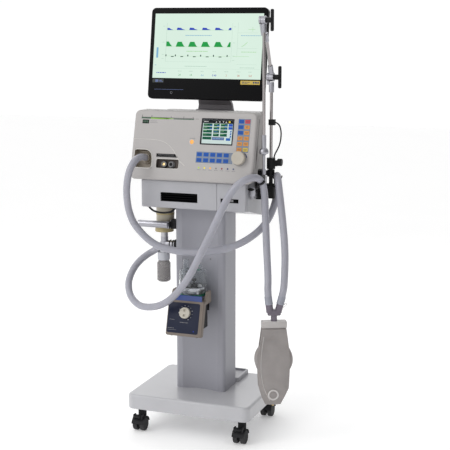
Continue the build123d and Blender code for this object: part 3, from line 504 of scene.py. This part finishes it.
for node, route, diameter, mat, body, length, stiff, pieces in (
        ("inspiratory_hose", INSPIRATORY, 25.0, HOSE, "cart", 1.529, "medium", [NODES["y_piece"], cuff_b]),
        ("expiratory_hose", EXPIRATORY, 25.0, HOSE, "cart", 1.470, "medium", [cuff_a]),
        ("cabinet_cable", CABINET_CABLE, 7.0, RUBBER, "cart", 0.114, "medium", []),
        ("arm_cable", ARM_CABLE, 5.0, RUBBER, "arm_mast", 0.137, "medium", [])):
    cord = cord_curve(node + "_tube", route, diameter, mat)
    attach(cord, body)
    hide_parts(node)


# ---------------------------------------------------------------- painted shells and frames
paint("base_slab", SHELL_BASE)
paint("rear_tray", SHELL)
paint("column_shell", COLUMN_PAINT)
paint("column_spine", STAND_GREY)
paint("cabinet_body", SHELL)
paint("cabinet_fascia", SHELL, (MATT_BLACK, lambda p, n: 104.1 < p.x < 169.9 and 848.5 < p.z < 863.5
                                and p.y > -126))
paint("cabinet_louvre", GLOSS_BLACK)
paint("battery_pack", SOFT_BLACK)
paint("blower", SATIN)
paint("main_board", BOARD)
# painted shade: the housing takes the darkened copy of the bezel's cream
paint("vent_housing", HOUSING_SHADED)
paint("lcd_module", LCD_FRAME)
paint("patient_port", RECESS)
paint("encoder_shaft", STEEL)
paint("encoder_knob", KNOB)
paint("monitor_bezel", GLOSS_BLACK)
paint("monitor_screen", SCREEN)
paint("monitor_back", MATT_BLACK)
paint("monitor_hinge", STAND_GREY)
paint("monitor_stand", STAND_GREY)
paint("side_rail", SATIN)
paint("rail_clamp", MATT_BLACK)
paint("accessory_post", MATT_BLACK)
paint("arm_ball_stub", SATIN)
for node in ("arm_mid_knob", "arm_top_knob", "arm_clamp_knob"):
    paint(node, MATT_BLACK)
paint("humidifier_dial", DIAL)
paint("finger_guard", GUARD)
paint("chamber_dome", CLEAR)
paint("water_trap_bottle", BOTTLE)
paint("y_piece", WYE)


def in_recess(u0, u1, v0, v1):
    """Test for bezel faces that lie inside a recess."""
    def test(p, n):
        q = on_face(VENT, p)
        return u0 < q.x < u1 and v0 < q.y < v1 and q.z < -0.3
    return test


paint("vent_bezel", BEZEL, (RECESS, in_recess(-224, -150, 40, 110)),
      (GLOSS_BLACK, in_recess(-139, -51, 82, 96)),
      (SOCKET_WELL, in_recess(-138, -47, 41, 79)))


CHAMBER = (-8, -108)


def ring_of(p, x, y):
    return math.hypot(p.x - x, p.y - y)


def socket_rule(p, n):
    q = on_face(VENT, p)
    return q.z > -8.2 or math.hypot(min(abs(q.x + 109), abs(q.x + 82)), q.y - 59.5) > 9.2


paint("sensor_sockets", SOFT_BLACK, (INK_GREY, socket_rule))

MID, TOP = Vector((250, -12.5, 1277)), Vector((250, -100.6, 1470))    # the arm's two knuckles
paint("arm_lower_rod", CHROME, (MATT_BLACK, lambda p, n: p.z < 999 or 1111.5 < p.z < 1132.5),
      (SATIN, lambda p, n: p.z > 1224))
paint("arm_upper_rod", CHROME, (SATIN, lambda p, n: (p - MID).length < 46 or (p - TOP).length < 79))
paint("arm_hanging_rod", CHROME, (SATIN, lambda p, n: p.z > 1427 or p.z < 1086))
paint("humidifier_body", BEIGE,
      (STEEL, lambda p, n: p.z > 498 and ring_of(p, *CHAMBER) < 44.5 and p.y < -62),
      (SOFT_BLACK, lambda p, n: p.z < 487.2 and p.y > -204 + (p.z - 380) * 0.281 + 21.5))
paint("chamber_base", STEEL, (SEAL_GREEN, lambda p, n: 511.4 < p.z < 517.6 and ring_of(p, *CHAMBER) > 43.2))
paint("expiratory_filter", CANISTER, (STEEL, lambda p, n: p.z < 716 and ring_of(p, -153, -22) < 13.5),
      (CANISTER_RIM, lambda p, n: p.z < 732))
paint("filter_handle", SATIN, (SOFT_BLACK, lambda p, n: p.x > -114))
paint("water_trap_valve", SATIN, (CAP_WHITE, lambda p, n: p.z < 637 and ring_of(p, -157, -22) > 10.2),
      (SOFT_BLACK, lambda p, n: p.x > -109.5))
for tag in ("fl", "fr", "rl", "rr"):
    paint(f"caster_{tag}_fork", SOFT_BLACK)
    axle_y = (-147 if tag[0] == "f" else 158) - 18
    paint(f"caster_{tag}_wheels", TYRE,
          (SOFT_BLACK, lambda p, n, y=axle_y: math.hypot(p.y - y, p.z - 24) < 20.5 and abs(n.x) > 0.9))
    if tag[0] == "f":
        paint(f"caster_{tag}_brake", SOFT_BLACK)

KNOB_U, KNOB_V = 172.6, 88.9
LAMP_STEP = 21.3
SIDE_KEYS = (157, 202, 110.5, 227)
LOW_KEYS = (12.5, 136, 68.5, 108)
SIDE_COLOURS = [[KEY_ORANGE, KEY_ORANGE, KEY_ORANGE, KEY_BLUE, KEY_BLUE, KEY_BLUE],
                [KEY_YELLOW, KEY_ORANGE, KEY_ORANGE, KEY_ORANGE, KEY_ORANGE, KEY_RED]]


def key_rule(area, columns, rows, colours, wanted):
    """Test for the faces of raised keys of one colour."""
    u0, u1, v0, v1 = area

    def test(p, n):
        q = on_face(VENT, p)
        if q.z < 0.42:
            return False
        i = min(columns - 1, max(0, int((q.x - u0) / (u1 - u0) * columns)))
        j = min(rows - 1, max(0, int((q.y - v0) / (v1 - v0) * rows)))
        return colours[i][j] is wanted
    return test


paint("side_keypad", OVERLAY, *[(mat, key_rule(SIDE_KEYS, 2, 6, SIDE_COLOURS, mat))
                                for mat in (KEY_BLUE, KEY_ORANGE, KEY_RED, KEY_YELLOW)])
paint("lower_keypad", OVERLAY, (KEY_BLUE, key_rule(LOW_KEYS, 5, 2, [[KEY_BLUE] * 2] * 5, KEY_BLUE)))

LAMP_COLOURS = [((0.42, 0.62, 0.02), 1.0), ((0.85, 0.72, 0.01), 1.0), ((0.95, 0.42, 0.01), 1.0),
                ((0.22, 0.2, 0.2), 0.0),
                ((0.22, 0.01, 0.02), 1.0), ((0.02, 0.03, 0.16), 0.9), ((0.05, 0.07, 0.16), 0.9)]
ALARM = material("lamp_alarm", (1.0, 0.34, 0.005), 0.25, glow=1.0, coat=0.3, vary=0.25, patch=120)
lamp_mats = [material(f"lamp_{i}", colour, 0.3, glow=glow, coat=0.3, bump=0.0)
             for i, (colour, glow) in enumerate(LAMP_COLOURS)]


def lamp_rule(index):
    def test(p, n):
        q = on_face(VENT, p)
        return q.y < 80 and abs(q.x - 26.4 - LAMP_STEP * index) < 5
    return test


paint("front_lamps", ALARM, *[(lamp_mats[i], lamp_rule(i)) for i in range(7)])


# ---------------------------------------------------------------- monitor picture
def on_screen(name, outlines, mat, layer=0):
    return flat_marks(name, outlines, mat, "monitor", MON, -1.2 + 0.2 * layer, 0.2)


STARTS = [-156.0, -119.5, -71.5, -22.5, 26.0, 77.0]
humps, blips, trapezoids, dots = [], [], [], []
for index, u in enumerate(STARTS):
    last = index == len(STARTS) - 1
    if last:
        humps.append([(u - 1, 245), (u + 2, 251), (u + 6, 253.5), (u + 10.5, 252), (u + 10.5, 245)])
        trapezoids.append([(u - 3, 186), (u + 3, 198), (u + 6, 203), (u + 10, 203), (u + 10, 186)])
    elif index == 0:
        humps.append([(u, 245), (u, 252), (u + 7, 252.5), (u + 14, 248), (u + 22, 245.6), (u + 22, 245)])
        trapezoids.append([(u - 1, 187), (u - 1, 204), (u + 8, 204), (u + 14, 195), (u + 21, 187.5),
                           (u + 21, 187)])
    else:
        humps.append([(u, 245), (u + 1, 251), (u + 3, 253.5), (u + 17, 252.5), (u + 20, 249), (u + 32, 245.6),
                      (u + 32, 245)])
        trapezoids.append([(u - 1, 186), (u + 3, 197), (u + 6, 203.5), (u + 22, 203.5), (u + 25, 197),
                           (u + 31, 188),
                           (u + 34, 186.6), (u + 34, 186)])
    blips.append(rounded(u - 2.4, u + 1.6, 151.5, 158, 1))
    if not last:
        dots.append(rounded(u + 19, u + 30, 149.4, 152.2, 1))
on_screen("wave_pressure", humps, LIT_BLUE, 1)
on_screen("wave_flow", trapezoids, LIT_GREEN, 1)
on_screen("wave_volume", blips + dots, LIT_DARK, 1)
on_screen("wave_baselines", [box(-157, 88, 244.4, 245), box(-157, 88, 185.4, 186),
                             box(-157, 88, 152.6, 153.1)],
          LIT_LIME)
faint = [box(-158.2, -157.4, 133, 270), box(91, 91.6, 133, 270), box(112, 112.6, 150, 272),
         box(-200, 200, 108.6, 109),
         box(-158, 88, 132.6, 133), box(112, 186, 235.4, 235.9), box(112, 186, 181, 181.5),
         box(112, 186, 125, 125.5)]
faint += [box(-173, -165, v, v + 1.1) for v in (258, 201, 157, 143)]
faint += [box(96, 104, v, v + 1.1) for v in (256, 200, 154, 139)]
on_screen("screen_axes", faint, LIT_FAINT)
on_screen("caption_pressure", dashes(-85, 14, 226, 2.2, 5) + dashes(124, 196, 226, 2.0, 9), LIT_SKY)
on_screen("caption_flow", dashes(-78, 4, 170, 2.2, 3) + dashes(128, 186, 169, 2.0, 7), LIT_LIME)
on_screen("caption_volume", dashes(-82, 1, 117, 2.2, 8) + dashes(126, 182, 114, 2.0, 4) +
          [r for u in (-100, -57, -13, 32, 77, 122, 166)
           for r in dashes(u - 7, u + 7, 99.5, 1.8, int(u) % 17)],
          LIT_FAINT, 1)
on_screen("level_bar", [rounded(-194, -186.5, 146, 183, 1), box(-198, -192, 119, 121)], LIT_SKY, 1)
on_screen("footer_line", dashes(-190, -150, 93, 2.6, 6), LIT_BLUE, 1)
on_screen("loop_graphs", [[(128, 188), (129, 187), (140, 193), (150, 203), (149, 204), (139, 194.5)],
                          box(99, 158, 153, 153.8), box(150, 176, 247, 248), box(166, 167, 240, 256)],
                          LIT_LIME, 1)
for index, (u, words, mat) in enumerate((
        (-100, "24", LIT_GREEN), (-57, "12", LIT_GREEN), (-13, "4.6", LIT_SKY), (32, "0.48", LIT_BLUE),
        (77, "2", LIT_RED), (122, "38", LIT_RED), (166, "5.0", LIT_RED))):
    text(f"screen_figure_{index}", words, u, 83, -1.0, 9.5, mat, "monitor", MON)
flat_marks("screen_edge_dark", [box(-206, 206, 303.2, 304.2), box(-206, -204.6, 73, 304),
                            box(204.6, 206, 73, 304),
                            box(-206, 206, 73, 74)], INK, "monitor", MON, -1.25, 0.3)
flat_marks("chin_sticker", [rounded(-203, -160, 57.5, 70, 1.5)], INK, "monitor", MON, 0.02, 0.15)
flat_marks("chin_sticker_mark", [rounded(-192, -180, 59.5, 68, 2), *dashes(-176, -163, 65, 3, 2),
                             *dashes(-176, -163, 61, 2, 6)],
       STICKER, "monitor", MON, 0.17, 0.1)
flat_marks("chin_strip", [rounded(132, 203, 56, 69.5, 1)], STRIP_YELLOW, "monitor", MON, 0.02, 0.2)
flat_marks("chin_strip_marks", dashes(137, 170, 64.5, 2.6, 4) + dashes(137, 158, 60, 1.8, 2) +
       [rounded(178 + 8 * i, 184 + 8 * i, 60, 66, 1) for i in range(3)], KEY_MARK, "monitor", MON, 0.22, 0.1)
flat_marks("chin_line", [box(-195, -82, 33, 34)], STICKER, "monitor", MON, 0.02, 0.08)
flat_marks("power_ring", [sector(-128, 22, 3, 4, 0, 359)], INK_GREY, "monitor", MON, 0.02, 0.15)

# ---------------------------------------------------------------- ventilator face
FACE = {"body": "cart", "matrix": VENT}


def on_bezel(name, outlines, mat, w0=0.02, thick=0.15):
    return flat_marks(name, outlines, mat, "cart", VENT, w0, thick)


on_bezel("stripe_dark", [box(-207, -171, 217.5, 221.5), box(-85, -7, 217.5, 220.6)], STRIPE_DARK)
on_bezel("stripe_bright", [box(-171, -107, 217, 221.6),
                           [(-107, 221.6), (-107, 217), (-85, 218.5), (-85, 220)]],
         STRIPE_GREEN)
on_bezel("stripe_line", [box(-207, -7, 221.8, 223.2)], INK)
on_bezel("stripe_ticks", [box(u, u + 1.4, 222, v) for u,
                          v in ((-206, 231), (-169, 230), (-95, 228), (-47, 228),
                                                              (-12, 228))] + dashes(-2, 10, 221, 1.2, 3), INK)
plate("front_label", rounded(-202, -177, 200, 213.5, 1.2), 0.02, 0.5, 0.15, GLOSS_BLACK, "cart", VENT)
on_bezel("front_label_mark", [rounded(-199, -194, 203, 211, 1), rounded(-192, -187, 203, 211, 1),
                              rounded(-185, -180, 203, 211, 1)], STRIPE_DARK, 0.5, 0.1)
on_bezel("front_label_print", dashes(-172, -148, 209.5, 1.6, 2) + dashes(-172, -142, 204, 1.4, 9), INK_GREY)
# light tubes on the recess rim, the face ridge and the sensor rim: painted highlight where the raised edges
# catch light
rim_line = [(-222, 42), (-183, 42), (-152, 42), (-152, 60), (-152, 78), (-155, 92), (-162, 101), (-172, 107),
            (-184, 108), (-199, 108), (-222, 108), (-222, 92), (-222, 60)]
line("recess_rim_highlight", [(u, v, -0.1) for u, v in rim_line], 1.5, RIM_HIGHLIGHT, closed=True, res=12, **FACE)
line("face_ridge", [(-232, 144.6, -0.2), (-180, 145, -0.2), (-139.5, 143.6, -0.2), (-109, 136.5, -0.2),
                    (-84, 120, -0.2), (-70, 104, -0.2), (-55, 80, -0.2), (-42, 66, -0.2), (-27, 56, -0.2)],
     0.9, RIM_HIGHLIGHT, res=12, **FACE)
line("sensor_rim", [(u, v, 0.0) for u, v in rounded(-136, -49, 43, 77, 7, 4)], 1.0, RIM_HIGHLIGHT, closed=True, res=6,
     **FACE)
plate("slot_panel", [(-136, 83.6), (-54.4, 83.6), (-66.2, 94.4), (-136, 94.4)], -6.5, -1.2, 0.3,
      GLOSS_BLACK, "cart",
      VENT)
# two thin grey lines on the black slot panel: painted highlight
on_bezel("slot_highlight_lines", dashes(-132, -70, 91.5, 1.2, 7) + [box(-134, -60, 86, 86.6)], INK_GREY, -1.2, 0.1)
for index, (u, mat) in enumerate(((-109, BRASS), (-82, SOFT_BLACK))):
    centre = VENT @ Matrix.Translation((u, 59.5, 0))
    lathe(f"connector_core_{index}", [(0, -17.5), (5.6, -17.5), (5.6, -9.5), (4.6, -8.6), (2.6, -8.6),
                                      (2.2, -10.5),
                                      (0, -10.5)], mat, "cart", centre)
    lathe(f"connector_ring_{index}", [(9.8, -16), (12.2, -16), (12.2, -14.6), (10.6, -13.8), (9.8, -13.8),
                                      (9.8, -16)],
          INK_GREY if index else SOFT_BLACK, "cart", centre)
on_bezel("alarm_print", dashes(-17, 3, 153, 1.8, 6), INK_GREY)
# collar in the light rim tone: painted highlight
lathe("alarm_collar", [(7.7, -0.6), (9.4, -0.6), (9.4, 0.5), (8.8, 1.0), (7.7, 1.0), (7.7, -0.6)], RIM_HIGHLIGHT,
      "cart",
      VENT @ Matrix.Translation((-7.7, 140.4, 0)))
lathe("port_collar", [(12.7, -33.6), (20, -33.6), (20, -30), (18.5, -27.5), (13.2, -27.5), (12.7, -33.6)],
      RECESS, "cart",
      VENT @ Matrix.Translation((PORT_U, PORT_V, 0)))
plate("recess_rib", rounded(-206, -160, 100, 104.5, 1.5), -33.8, -24, 1.0, RECESS, "cart", VENT)

# display
LCD_FACE, LCD_PRINT = -2.6, -2.45
plate("lcd_surface", box(26.8, 137.2, 137.8, 220.2), -2.98, LCD_FACE, 0.05, LCD_WHITE, "cart", VENT)
on_bezel("lcd_topbar", [box(27, 137, 208.5, 220)], LCD_BAR, LCD_FACE, 0.15)
on_bezel("lcd_icons", dashes(30, 50, 214.5, 2.6, 4) + [[(73, 211), (78, 211), (75.5, 216.5)],
                                                       disc(88, 214, 2.4, 12),
                                                      [(99, 216.5), (104, 216.5), (101.5, 211)],
                                                      [(109, 211), (115, 211), (112, 217)]], PALE,
                                                      LCD_PRINT, 0.1)
on_bezel("lcd_warning", [disc(124, 214.5, 3.6, 16)], LCD_WARN, LCD_PRINT, 0.1)
rows = [(198.6, 207.6), (187.6, 196.4), (175.6, 185.2), (163.4, 173.2), (151.4, 161)]
cells = [box(29, 62, *row) for row in rows] + [box(67, 88.5, *row) for row in rows[:4]] + \
    [box(92.5, 118, *row) for row in rows[:4]]
on_bezel("lcd_cells", cells, CELL, LCD_FACE, 0.15)
on_bezel("lcd_marks", [box(u, u + 8, row[0] + 1.2, row[0] + 4.4) for row in rows[:2] for u in (53, 79, 108)] +
         dashes(70, 86, 179.5, 2.2, 4), CELL_BLUE, LCD_PRINT, 0.1)
on_bezel("lcd_cell_print", [d for row in rows[:4] for u in (31, 69, 94)
                            for d in dashes(u, u + 13, row[1] - 2.6, 1.2, 5)],
         LIT_LIME, LCD_PRINT, 0.06)
on_bezel("lcd_slate", [rounded(64, 109, 150.5, 160.5, 1)], CELL_SLATE, LCD_FACE, 0.15)
on_bezel("lcd_slate_print", dashes(67, 106, 155.5, 2.4, 6), LIT_SKY, LCD_PRINT, 0.06)
blue_cells = [box(121.5, 136.5, 198.6, 208), box(121.5, 136.5, 188.4, 197.4), box(116, 132, 149.5, 158.5)]
blue_cells += [[(128, v), (134, v + 1), (134, v + 8), (130, v + 6.5)] for v in (160, 169, 178)]
on_bezel("lcd_column", blue_cells, CELL_BLUE, LCD_FACE, 0.15)
on_bezel("lcd_column_marks", [box(124, 134, 201, 205), box(124, 133, 190.5, 195)], LIT_BLUE, LCD_PRINT, 0.08)
line("lcd_bezel_edge", [(u, v, 0.0) for u, v in rounded(22.6, 141.4, 133.6, 224.4, 1.5, 2)], 0.9, LCD_FRAME,
     closed=True,
     res=4, **FACE)

# key legends, the knob's dark arc and grey ring, and the lamp captions
legends = []
for (u0, u1, v0, v1), columns, count in ((SIDE_KEYS, 2, 6), (LOW_KEYS, 5, 2)):
    for i in range(columns):
        for j in range(count):
            u = u0 + (u1 - u0) * (i + 0.5) / columns
            v = v0 + (v1 - v0) * (j + 0.5) / count
            legends += dashes(u - 5.5, u + 5.5, v + 1.6, 1.5, i * 5 + j * 3 + 1)
            legends += dashes(u - 4.0, u + 4.5, v - 1.8, 1.3, i * 3 + j * 7 + 2)
on_bezel("key_legends", legends, KEY_MARK, 1.1, 0.12)
on_bezel("knob_arc", [sector(KNOB_U, KNOB_V, 24.6, 27.4, 8, 78)], KEY_MARK)
on_bezel("knob_ring", [sector(KNOB_U, KNOB_V, 24.6, 25.6, 82, 366)], INK_GREY)
# keypad frames in the light rim tone: painted highlight
line("keypad_frame_side", [(u, v, 0.1) for u, v in rounded(155.8, 203.2, 109.3, 228.2, 2, 2)], 0.5, RIM_HIGHLIGHT,
     closed=True,
     res=4, **FACE)
line("keypad_frame_low", [(u, v, 0.1) for u, v in rounded(11.3, 149, 67.3, 109.2, 2, 2)], 0.5, RIM_HIGHLIGHT,
     closed=True,
     res=4, **FACE)
on_bezel("keypad_wing", [rounded(136.2, 148.2, 68.5, 108, 1)], OVERLAY)
on_bezel("lamp_print", [d for i in range(7) for d in dashes(20.4 + LAMP_STEP * i, 33.4 + LAMP_STEP * i,
                                                            44.5, 1.6, i * 4 + 3)],
         INK_GREY)
lathe("knob_face", [(0, 19.6), (20.2, 19.6), (20.8, 20.1), (20.2, 20.35), (19, 20.2), (0, 20.2)], KNOB,
      "encoder_dial",
      VENT @ Matrix.Translation((KNOB_U, KNOB_V, 0)))

# painted shadow of the groove and finger recess on the bezel's right side, drawn as a dark strip, and a thin
# dark seam line
SIDE = VENT @ Matrix(((0, 0, 1, 223.8), (0, 1, 0, 0), (-1, 0, 0, 0), (0, 0, 0, 1)))
GROOVE = material("groove_shadow", (0.13, 0.12, 0.115), 0.6)
flat_marks("side_groove_shadow", [[(24.5, 232), (22.5, 214), (24.5, 140), (21.5, 128), (20, 112), (22, 96), (25.5, 84),
                        (27.5, 60),
                        (29, 60), (31, 84), (33.5, 96), (34.5, 112), (32.5, 128), (28, 140), (27, 214),
                        (28.5, 232)]],
       GROOVE, "cart", SIDE, 0.0, 0.25)
flat_marks("side_seam", [box(8, 9, 14, 236)], GROOVE, "cart", SIDE, 0.0, 0.15)

# ---------------------------------------------------------------- cabinet front
plate("fascia_display", rounded(104.6, 169.4, 849.5, 862.5, 1), -5.95, -3.4, 0.4, GLOSS_BLACK, "cart", FASCIA)
flat_marks("fascia_display_edge", [rounded(134, 150, 852, 860, 0.8)], INK_GREY, "cart", FASCIA, -3.4, 0.1)
lathe("fascia_button", [(0, -0.2), (1.9, -0.2), (1.9, 0.5), (1.4, 0.9), (0, 0.9)], MATT_BLACK, "cart",
      FASCIA @ Matrix.Translation((108, 842, 0)), seg=24)
lathe("fascia_pin", [(0, -0.2), (1.1, -0.2), (1.1, 0.3), (0, 0.3)], INK_GREY, "cart",
      FASCIA @ Matrix.Translation((-36, 836, 0)), seg=16)
END = face(209, -93, 885)
plate("rail_end_bracket", rounded(-8, 11, -13, 18, 3), -1, 5, 1.5, SATIN, "cart", END)
bm = bmesh.new()
bmesh.ops.create_uvsphere(bm, u_segments=32, v_segments=16, radius=1.0)
bmesh.ops.scale(bm, verts=bm.verts, vec=(11, 5, 6))
finish_mesh("rail_end_knob", bm, END @ Matrix.Translation((-2, 11, 9)), MATT_BLACK, "cart", sharp=80)
lathe("column_screw", [(0, -0.2), (3.2, -0.2), (3.2, 0.6), (2.4, 1.2), (0, 1.2)], INK_GREY, "cart",
      face(38, -50.7, 629.5), seg=24)
for side in (-1, 1):
    plate(f"cable_gland_{'lr'[side > 0]}", disc(0, 0, 6.4, 24), 0.0, 3.5, 1.0, RUBBER, "cart",
          Matrix.Translation(at(-128 + side * 52, -101, 818)) @ Matrix.Rotation(math.pi, 4,
                                                                                "X") @ Matrix.Scale(0.001, 4))

# ---------------------------------------------------------------- humidifier
plate("humidifier_panel", rounded(-63.5, 54, 10, 117, 6), 0.02, 0.9, 0.4, NAVY, "cart", HUM)
flat_marks("humidifier_ticks", [disc(2 + 25.5 * math.cos(math.radians(a)), 82 + 25.5 * math.sin(math.radians(a)),
                                 1.0 if index % 3 else 1.4, 10)
                            for index, a in enumerate(range(-62, 222, 27))], PALE, "cart", HUM, 0.9, 0.12)
flat_marks("humidifier_print", dashes(-56, -36, 56, 1.6, 3) + dashes(-16, 17, 48, 2.0, 7)
       + dashes(-60, -36, 26, 1.6, 9) +
       dashes(-60, -28, 20, 1.2, 2), INK_GREY, "cart", HUM, 0.9, 0.1)
flat_marks("humidifier_lamp", [disc(38, 20, 1.8, 16)], LIT_BLUE, "cart", HUM, 0.9, 0.3)
line("humidifier_rib", [(59.5, 6, -0.2), (59.5, 40, -0.2), (59.5, 80, -0.2), (59.5, 120, -0.2)], 1.0, BEIGE,
     "cart", HUM)
for index, u in enumerate((-48, 48)):
    lathe(f"humidifier_foot_{index}", [(0, -4), (4.2, -4), (4.8, -2), (4.8, 3), (0, 3)], SOFT_BLACK, "cart",
          upright(-8 + u, -190, 380), seg=24)
line("port_ring", [(17 + 9 * math.cos(math.radians(a)), -121, 611 + 8.5 * math.sin(math.radians(a)))
                   for a in range(40, 321, 20)], 1.7, SEAL_GREEN, "cart", WORLD, res=8)
lathe("chamber_inner_tube", [(15.5, 552), (17, 552), (17, 597), (15.5, 597), (15.5, 552)], CLEAR, "cart",
      upright(-34, -108, 0))
lathe("chamber_float", [(0, 536), (11, 536), (12, 538), (12, 545), (10, 547), (2.2, 548), (2.2, 560),
                        (8, 561),
                        (8.6, 563), (8, 567), (0, 568)], SOFT_BLACK, "cart",
      upright(-2, -112, 0))
lathe("chamber_rim", [(46.9, 527.5), (47.4, 527.5), (47.4, 529), (46.9, 529), (46.9, 527.5)], INK_GREY,
      "cart",
      upright(-8, -108, 0), seg=64)
lathe("heater_cup", [(39, 526), (45.5, 526), (45.5, 540), (44.5, 541), (39, 541), (39, 526)], STEEL, "cart",
      upright(-8, -108, 0), seg=64)

# ---------------------------------------------------------------- expiratory side
TRAP = upright(-157, -22, 6)
STEM = upright(-153, -22, 0)
FILTER = upright(-149, -22, 0)
bm = bmesh.new()
for index in range(36):
    a = 2 * math.pi * index / 36
    c, s = math.cos(a), math.sin(a)
    corners = [(21.2, -0.9), (22.2, -0.45), (22.2, 0.45), (21.2, 0.9)]
    prism(bm, [(r * c - t * s, r * s + t * c) for r, t in corners], 604, 627)
finish_mesh("cap_ribs", bm, TRAP, CAP_WHITE, "cart")
lathe("canister_band", [(33, 778), (33.7, 778), (33.7, 785), (33, 785), (33, 778)], CANISTER_RIM, "cart",
      FILTER, seg=64)
lathe("valve_collar", [(13.4, 672), (15.4, 672.5), (15.4, 678), (13.4, 678.5), (13.4, 672)], SATIN, "cart",
      STEM)
lathe("cap_neck", [(10.1, 630.2), (12.5, 630.2), (12.5, 636), (10.1, 637), (10.1, 630.2)], CAP_WHITE,
      "cart", TRAP)
ACROSS = Matrix.Translation(at(0, -22, 668)) @ Matrix.Rotation(math.radians(90), 4,
                                                               "Y") @ Matrix.Scale(0.001, 4)
for index, x in enumerate((-131, -119)):
    lathe(f"tee_ring_{index}", [(14, x), (15.6, x + 0.4), (15.6, x + 3.6), (14, x + 4), (14, x)], SOFT_BLACK,
          "cart", ACROSS)
BAR = Matrix.Translation(at(0, -69.5, 747)) @ Matrix.Rotation(math.radians(90), 4,
                                                              "Y") @ Matrix.Scale(0.001, 4)
lathe("bar_end_ring", [(12.5, -229), (12.9, -229), (12.9, -226.5), (12.5, -226.5), (12.5, -229)], STEEL,
      "cart", BAR)

# ---------------------------------------------------------------- test lung
leaf = [(-42, 427), (42, 427), (47, 392), (50.5, 366), (54, 330), (55, 290), (53.5, 250), (52, 215),
        (38, 186),
        (24, 158), (8, 157), (-14, 157), (-30, 158), (-42, 184), (-52, 216), (-54, 250), (-55, 290),
        (-53.5, 330),
        (-49.5, 366), (-46, 392)]
plate("lung_front_leaf", leaf, 12.2, 17, 1.6, LUNG_LEAF, "lung", LUNG, replaces=("test_lung",),
      slot="lung_skin", sharp=60)
plate("lung_rear_leaf", leaf, -25, -20.3, 1.6, LUNG_LEAF, "lung", LUNG, slot="lung_skin", sharp=60)
plate("lung_neck", rounded(-30, 30, 372, 429, 6), -20.3, 12.2, 2.0, LUNG_LEAF, "lung", LUNG, slot="lung_skin")
plate("lung_top_bar", rounded(-44, 44, 428.2, 453, 5), -13, 13, 3.0, LUNG_BAR, "lung", LUNG,
      slot="lung_skin", sharp=60)
lathe("lung_bellows", [(30, -20.3), (62, -20.3), (66, -17), (65.5, -15), (61, -12.2), (66, -9),
                       (65.5, -7.5), (61, -4.2),
                       (66, -1), (65.5, 0.6), (61, 4), (66, 7.4), (65, 9.4), (61, 12.2), (30, 12.2)],
                       LUNG_LEAF, "lung",
      LUNG @ Matrix.Translation((0, 315, 0)), seg=72, slot="lung_skin", sharp=75)
lathe("lung_boss_ring", [(13.4, 16.8), (19, 16.8), (19.4, 18.4), (18.4, 20), (15, 20), (13.4, 18.4),
                         (13.4, 16.8)],
      LUNG_RING, "lung", LUNG @ Matrix.Translation((-2, 192, 0)), seg=48)
lathe("lung_boss", [(0, 16.8), (13.6, 16.8), (13.6, 17.8), (11, 18.6), (0, 18.9)], LUNG_LEAF, "lung",
      LUNG @ Matrix.Translation((-2, 192, 0)), seg=48, slot="lung_skin")
line("lung_seam_left", [(-36, 400, 16.9), (-42, 360, 16.9), (-46, 310, 16.9), (-44, 260, 16.9),
                        (-36, 220, 16.9),
                        (-24, 190, 16.9), (-14, 172, 16.9)], 1.1, LUNG_BAR, "lung", LUNG, res=10)
line("lung_top_seam", [(-42, 429, 12), (-20, 429, 13.2), (20, 429, 13.2), (42, 429, 12)], 1.4, LUNG_LEAF,
     "lung", LUNG)
lathe("lung_nipple", [(0, 150), (3.4, 150), (4.4, 152), (3.4, 154.5), (4.6, 156), (3.6, 158.5), (5, 160),
                      (5, 172), (0, 172)],
      BRASS, "lung", Matrix.Translation(at(*on_lung(-2, -4, 0))) @ Matrix.Scale(0.001, 4), seg=32)

# ---------------------------------------------------------------- Y-piece details
loop = [on_lung(24, -2, 500), on_lung(31, -3, 507), on_lung(40, -4, 515), on_lung(44, -4, 512),
        on_lung(40, -4, 505),
        on_lung(30, -3, 499)]
line("wye_strap", loop, 0.9, LUNG_BAR, "cart", WORLD, closed=True, res=10)


# ---------------------------------------------------------------- floor and light
def area_light(name, place, aim, size, power, tint=(1, 1, 1)):
    data = bpy.data.lights.new(name, "AREA")
    data.energy = power
    data.size = size
    data.color = tint
    lamp = bpy.data.objects.new(name, data)
    lamp.location = at(*place)
    lamp.rotation_euler = (at(*aim) - lamp.location).to_track_quat("-Z", "Y").to_euler()
    bpy.context.scene.collection.objects.link(lamp)


area_light("key", (-1800, -2600, 2600), (0, 0, 800), 1.6, 26)
area_light("rim", (-600, 2200, 2300), (0, 0, 900), 2.0, 12)
world = bpy.data.worlds.new("world")
world.use_nodes = True
sky = world.node_tree
background = sky.nodes["Background"]
background.inputs["Color"].default_value = (1.0, 1.0, 1.0, 1)
direction = sky.nodes.new("ShaderNodeTexCoord")
axes = sky.nodes.new("ShaderNodeSeparateXYZ")
falloff = sky.nodes.new("ShaderNodeMapRange")
for socket, value in (("From Min", -0.1), ("From Max", 0.75), ("To Min", 1.02), ("To Max", 0.34)):
    falloff.inputs[socket].default_value = value
sky.links.new(direction.outputs["Generated"], axes.inputs["Vector"])
sky.links.new(axes.outputs["X"], falloff.inputs["Value"])
sky.links.new(falloff.outputs["Result"], background.inputs["Strength"])
bpy.context.scene.world = world
bpy.context.scene.view_settings.view_transform = "Standard"

floor_mesh = bpy.data.meshes.new("floor")
R = 12.0
floor_mesh.from_pydata([(-R, -R, -0.0005), (R, -R, -0.0005), (R, R, -0.0005), (-R, R, -0.0005)], [],
                       [(0, 1, 2, 3)])
FLOOR = material("floor_pale", (0.93, 0.93, 0.93), 0.8, vary=0.01, patch=2)
FLOOR.node_tree.nodes["Principled BSDF"].inputs["Emission Color"].default_value = (1, 1, 1, 1)
FLOOR.node_tree.nodes["Principled BSDF"].inputs["Emission Strength"].default_value = 0.22
floor_mesh.materials.append(FLOOR)
floor = bpy.data.objects.new("floor", floor_mesh)
bpy.context.scene.collection.objects.link(floor)
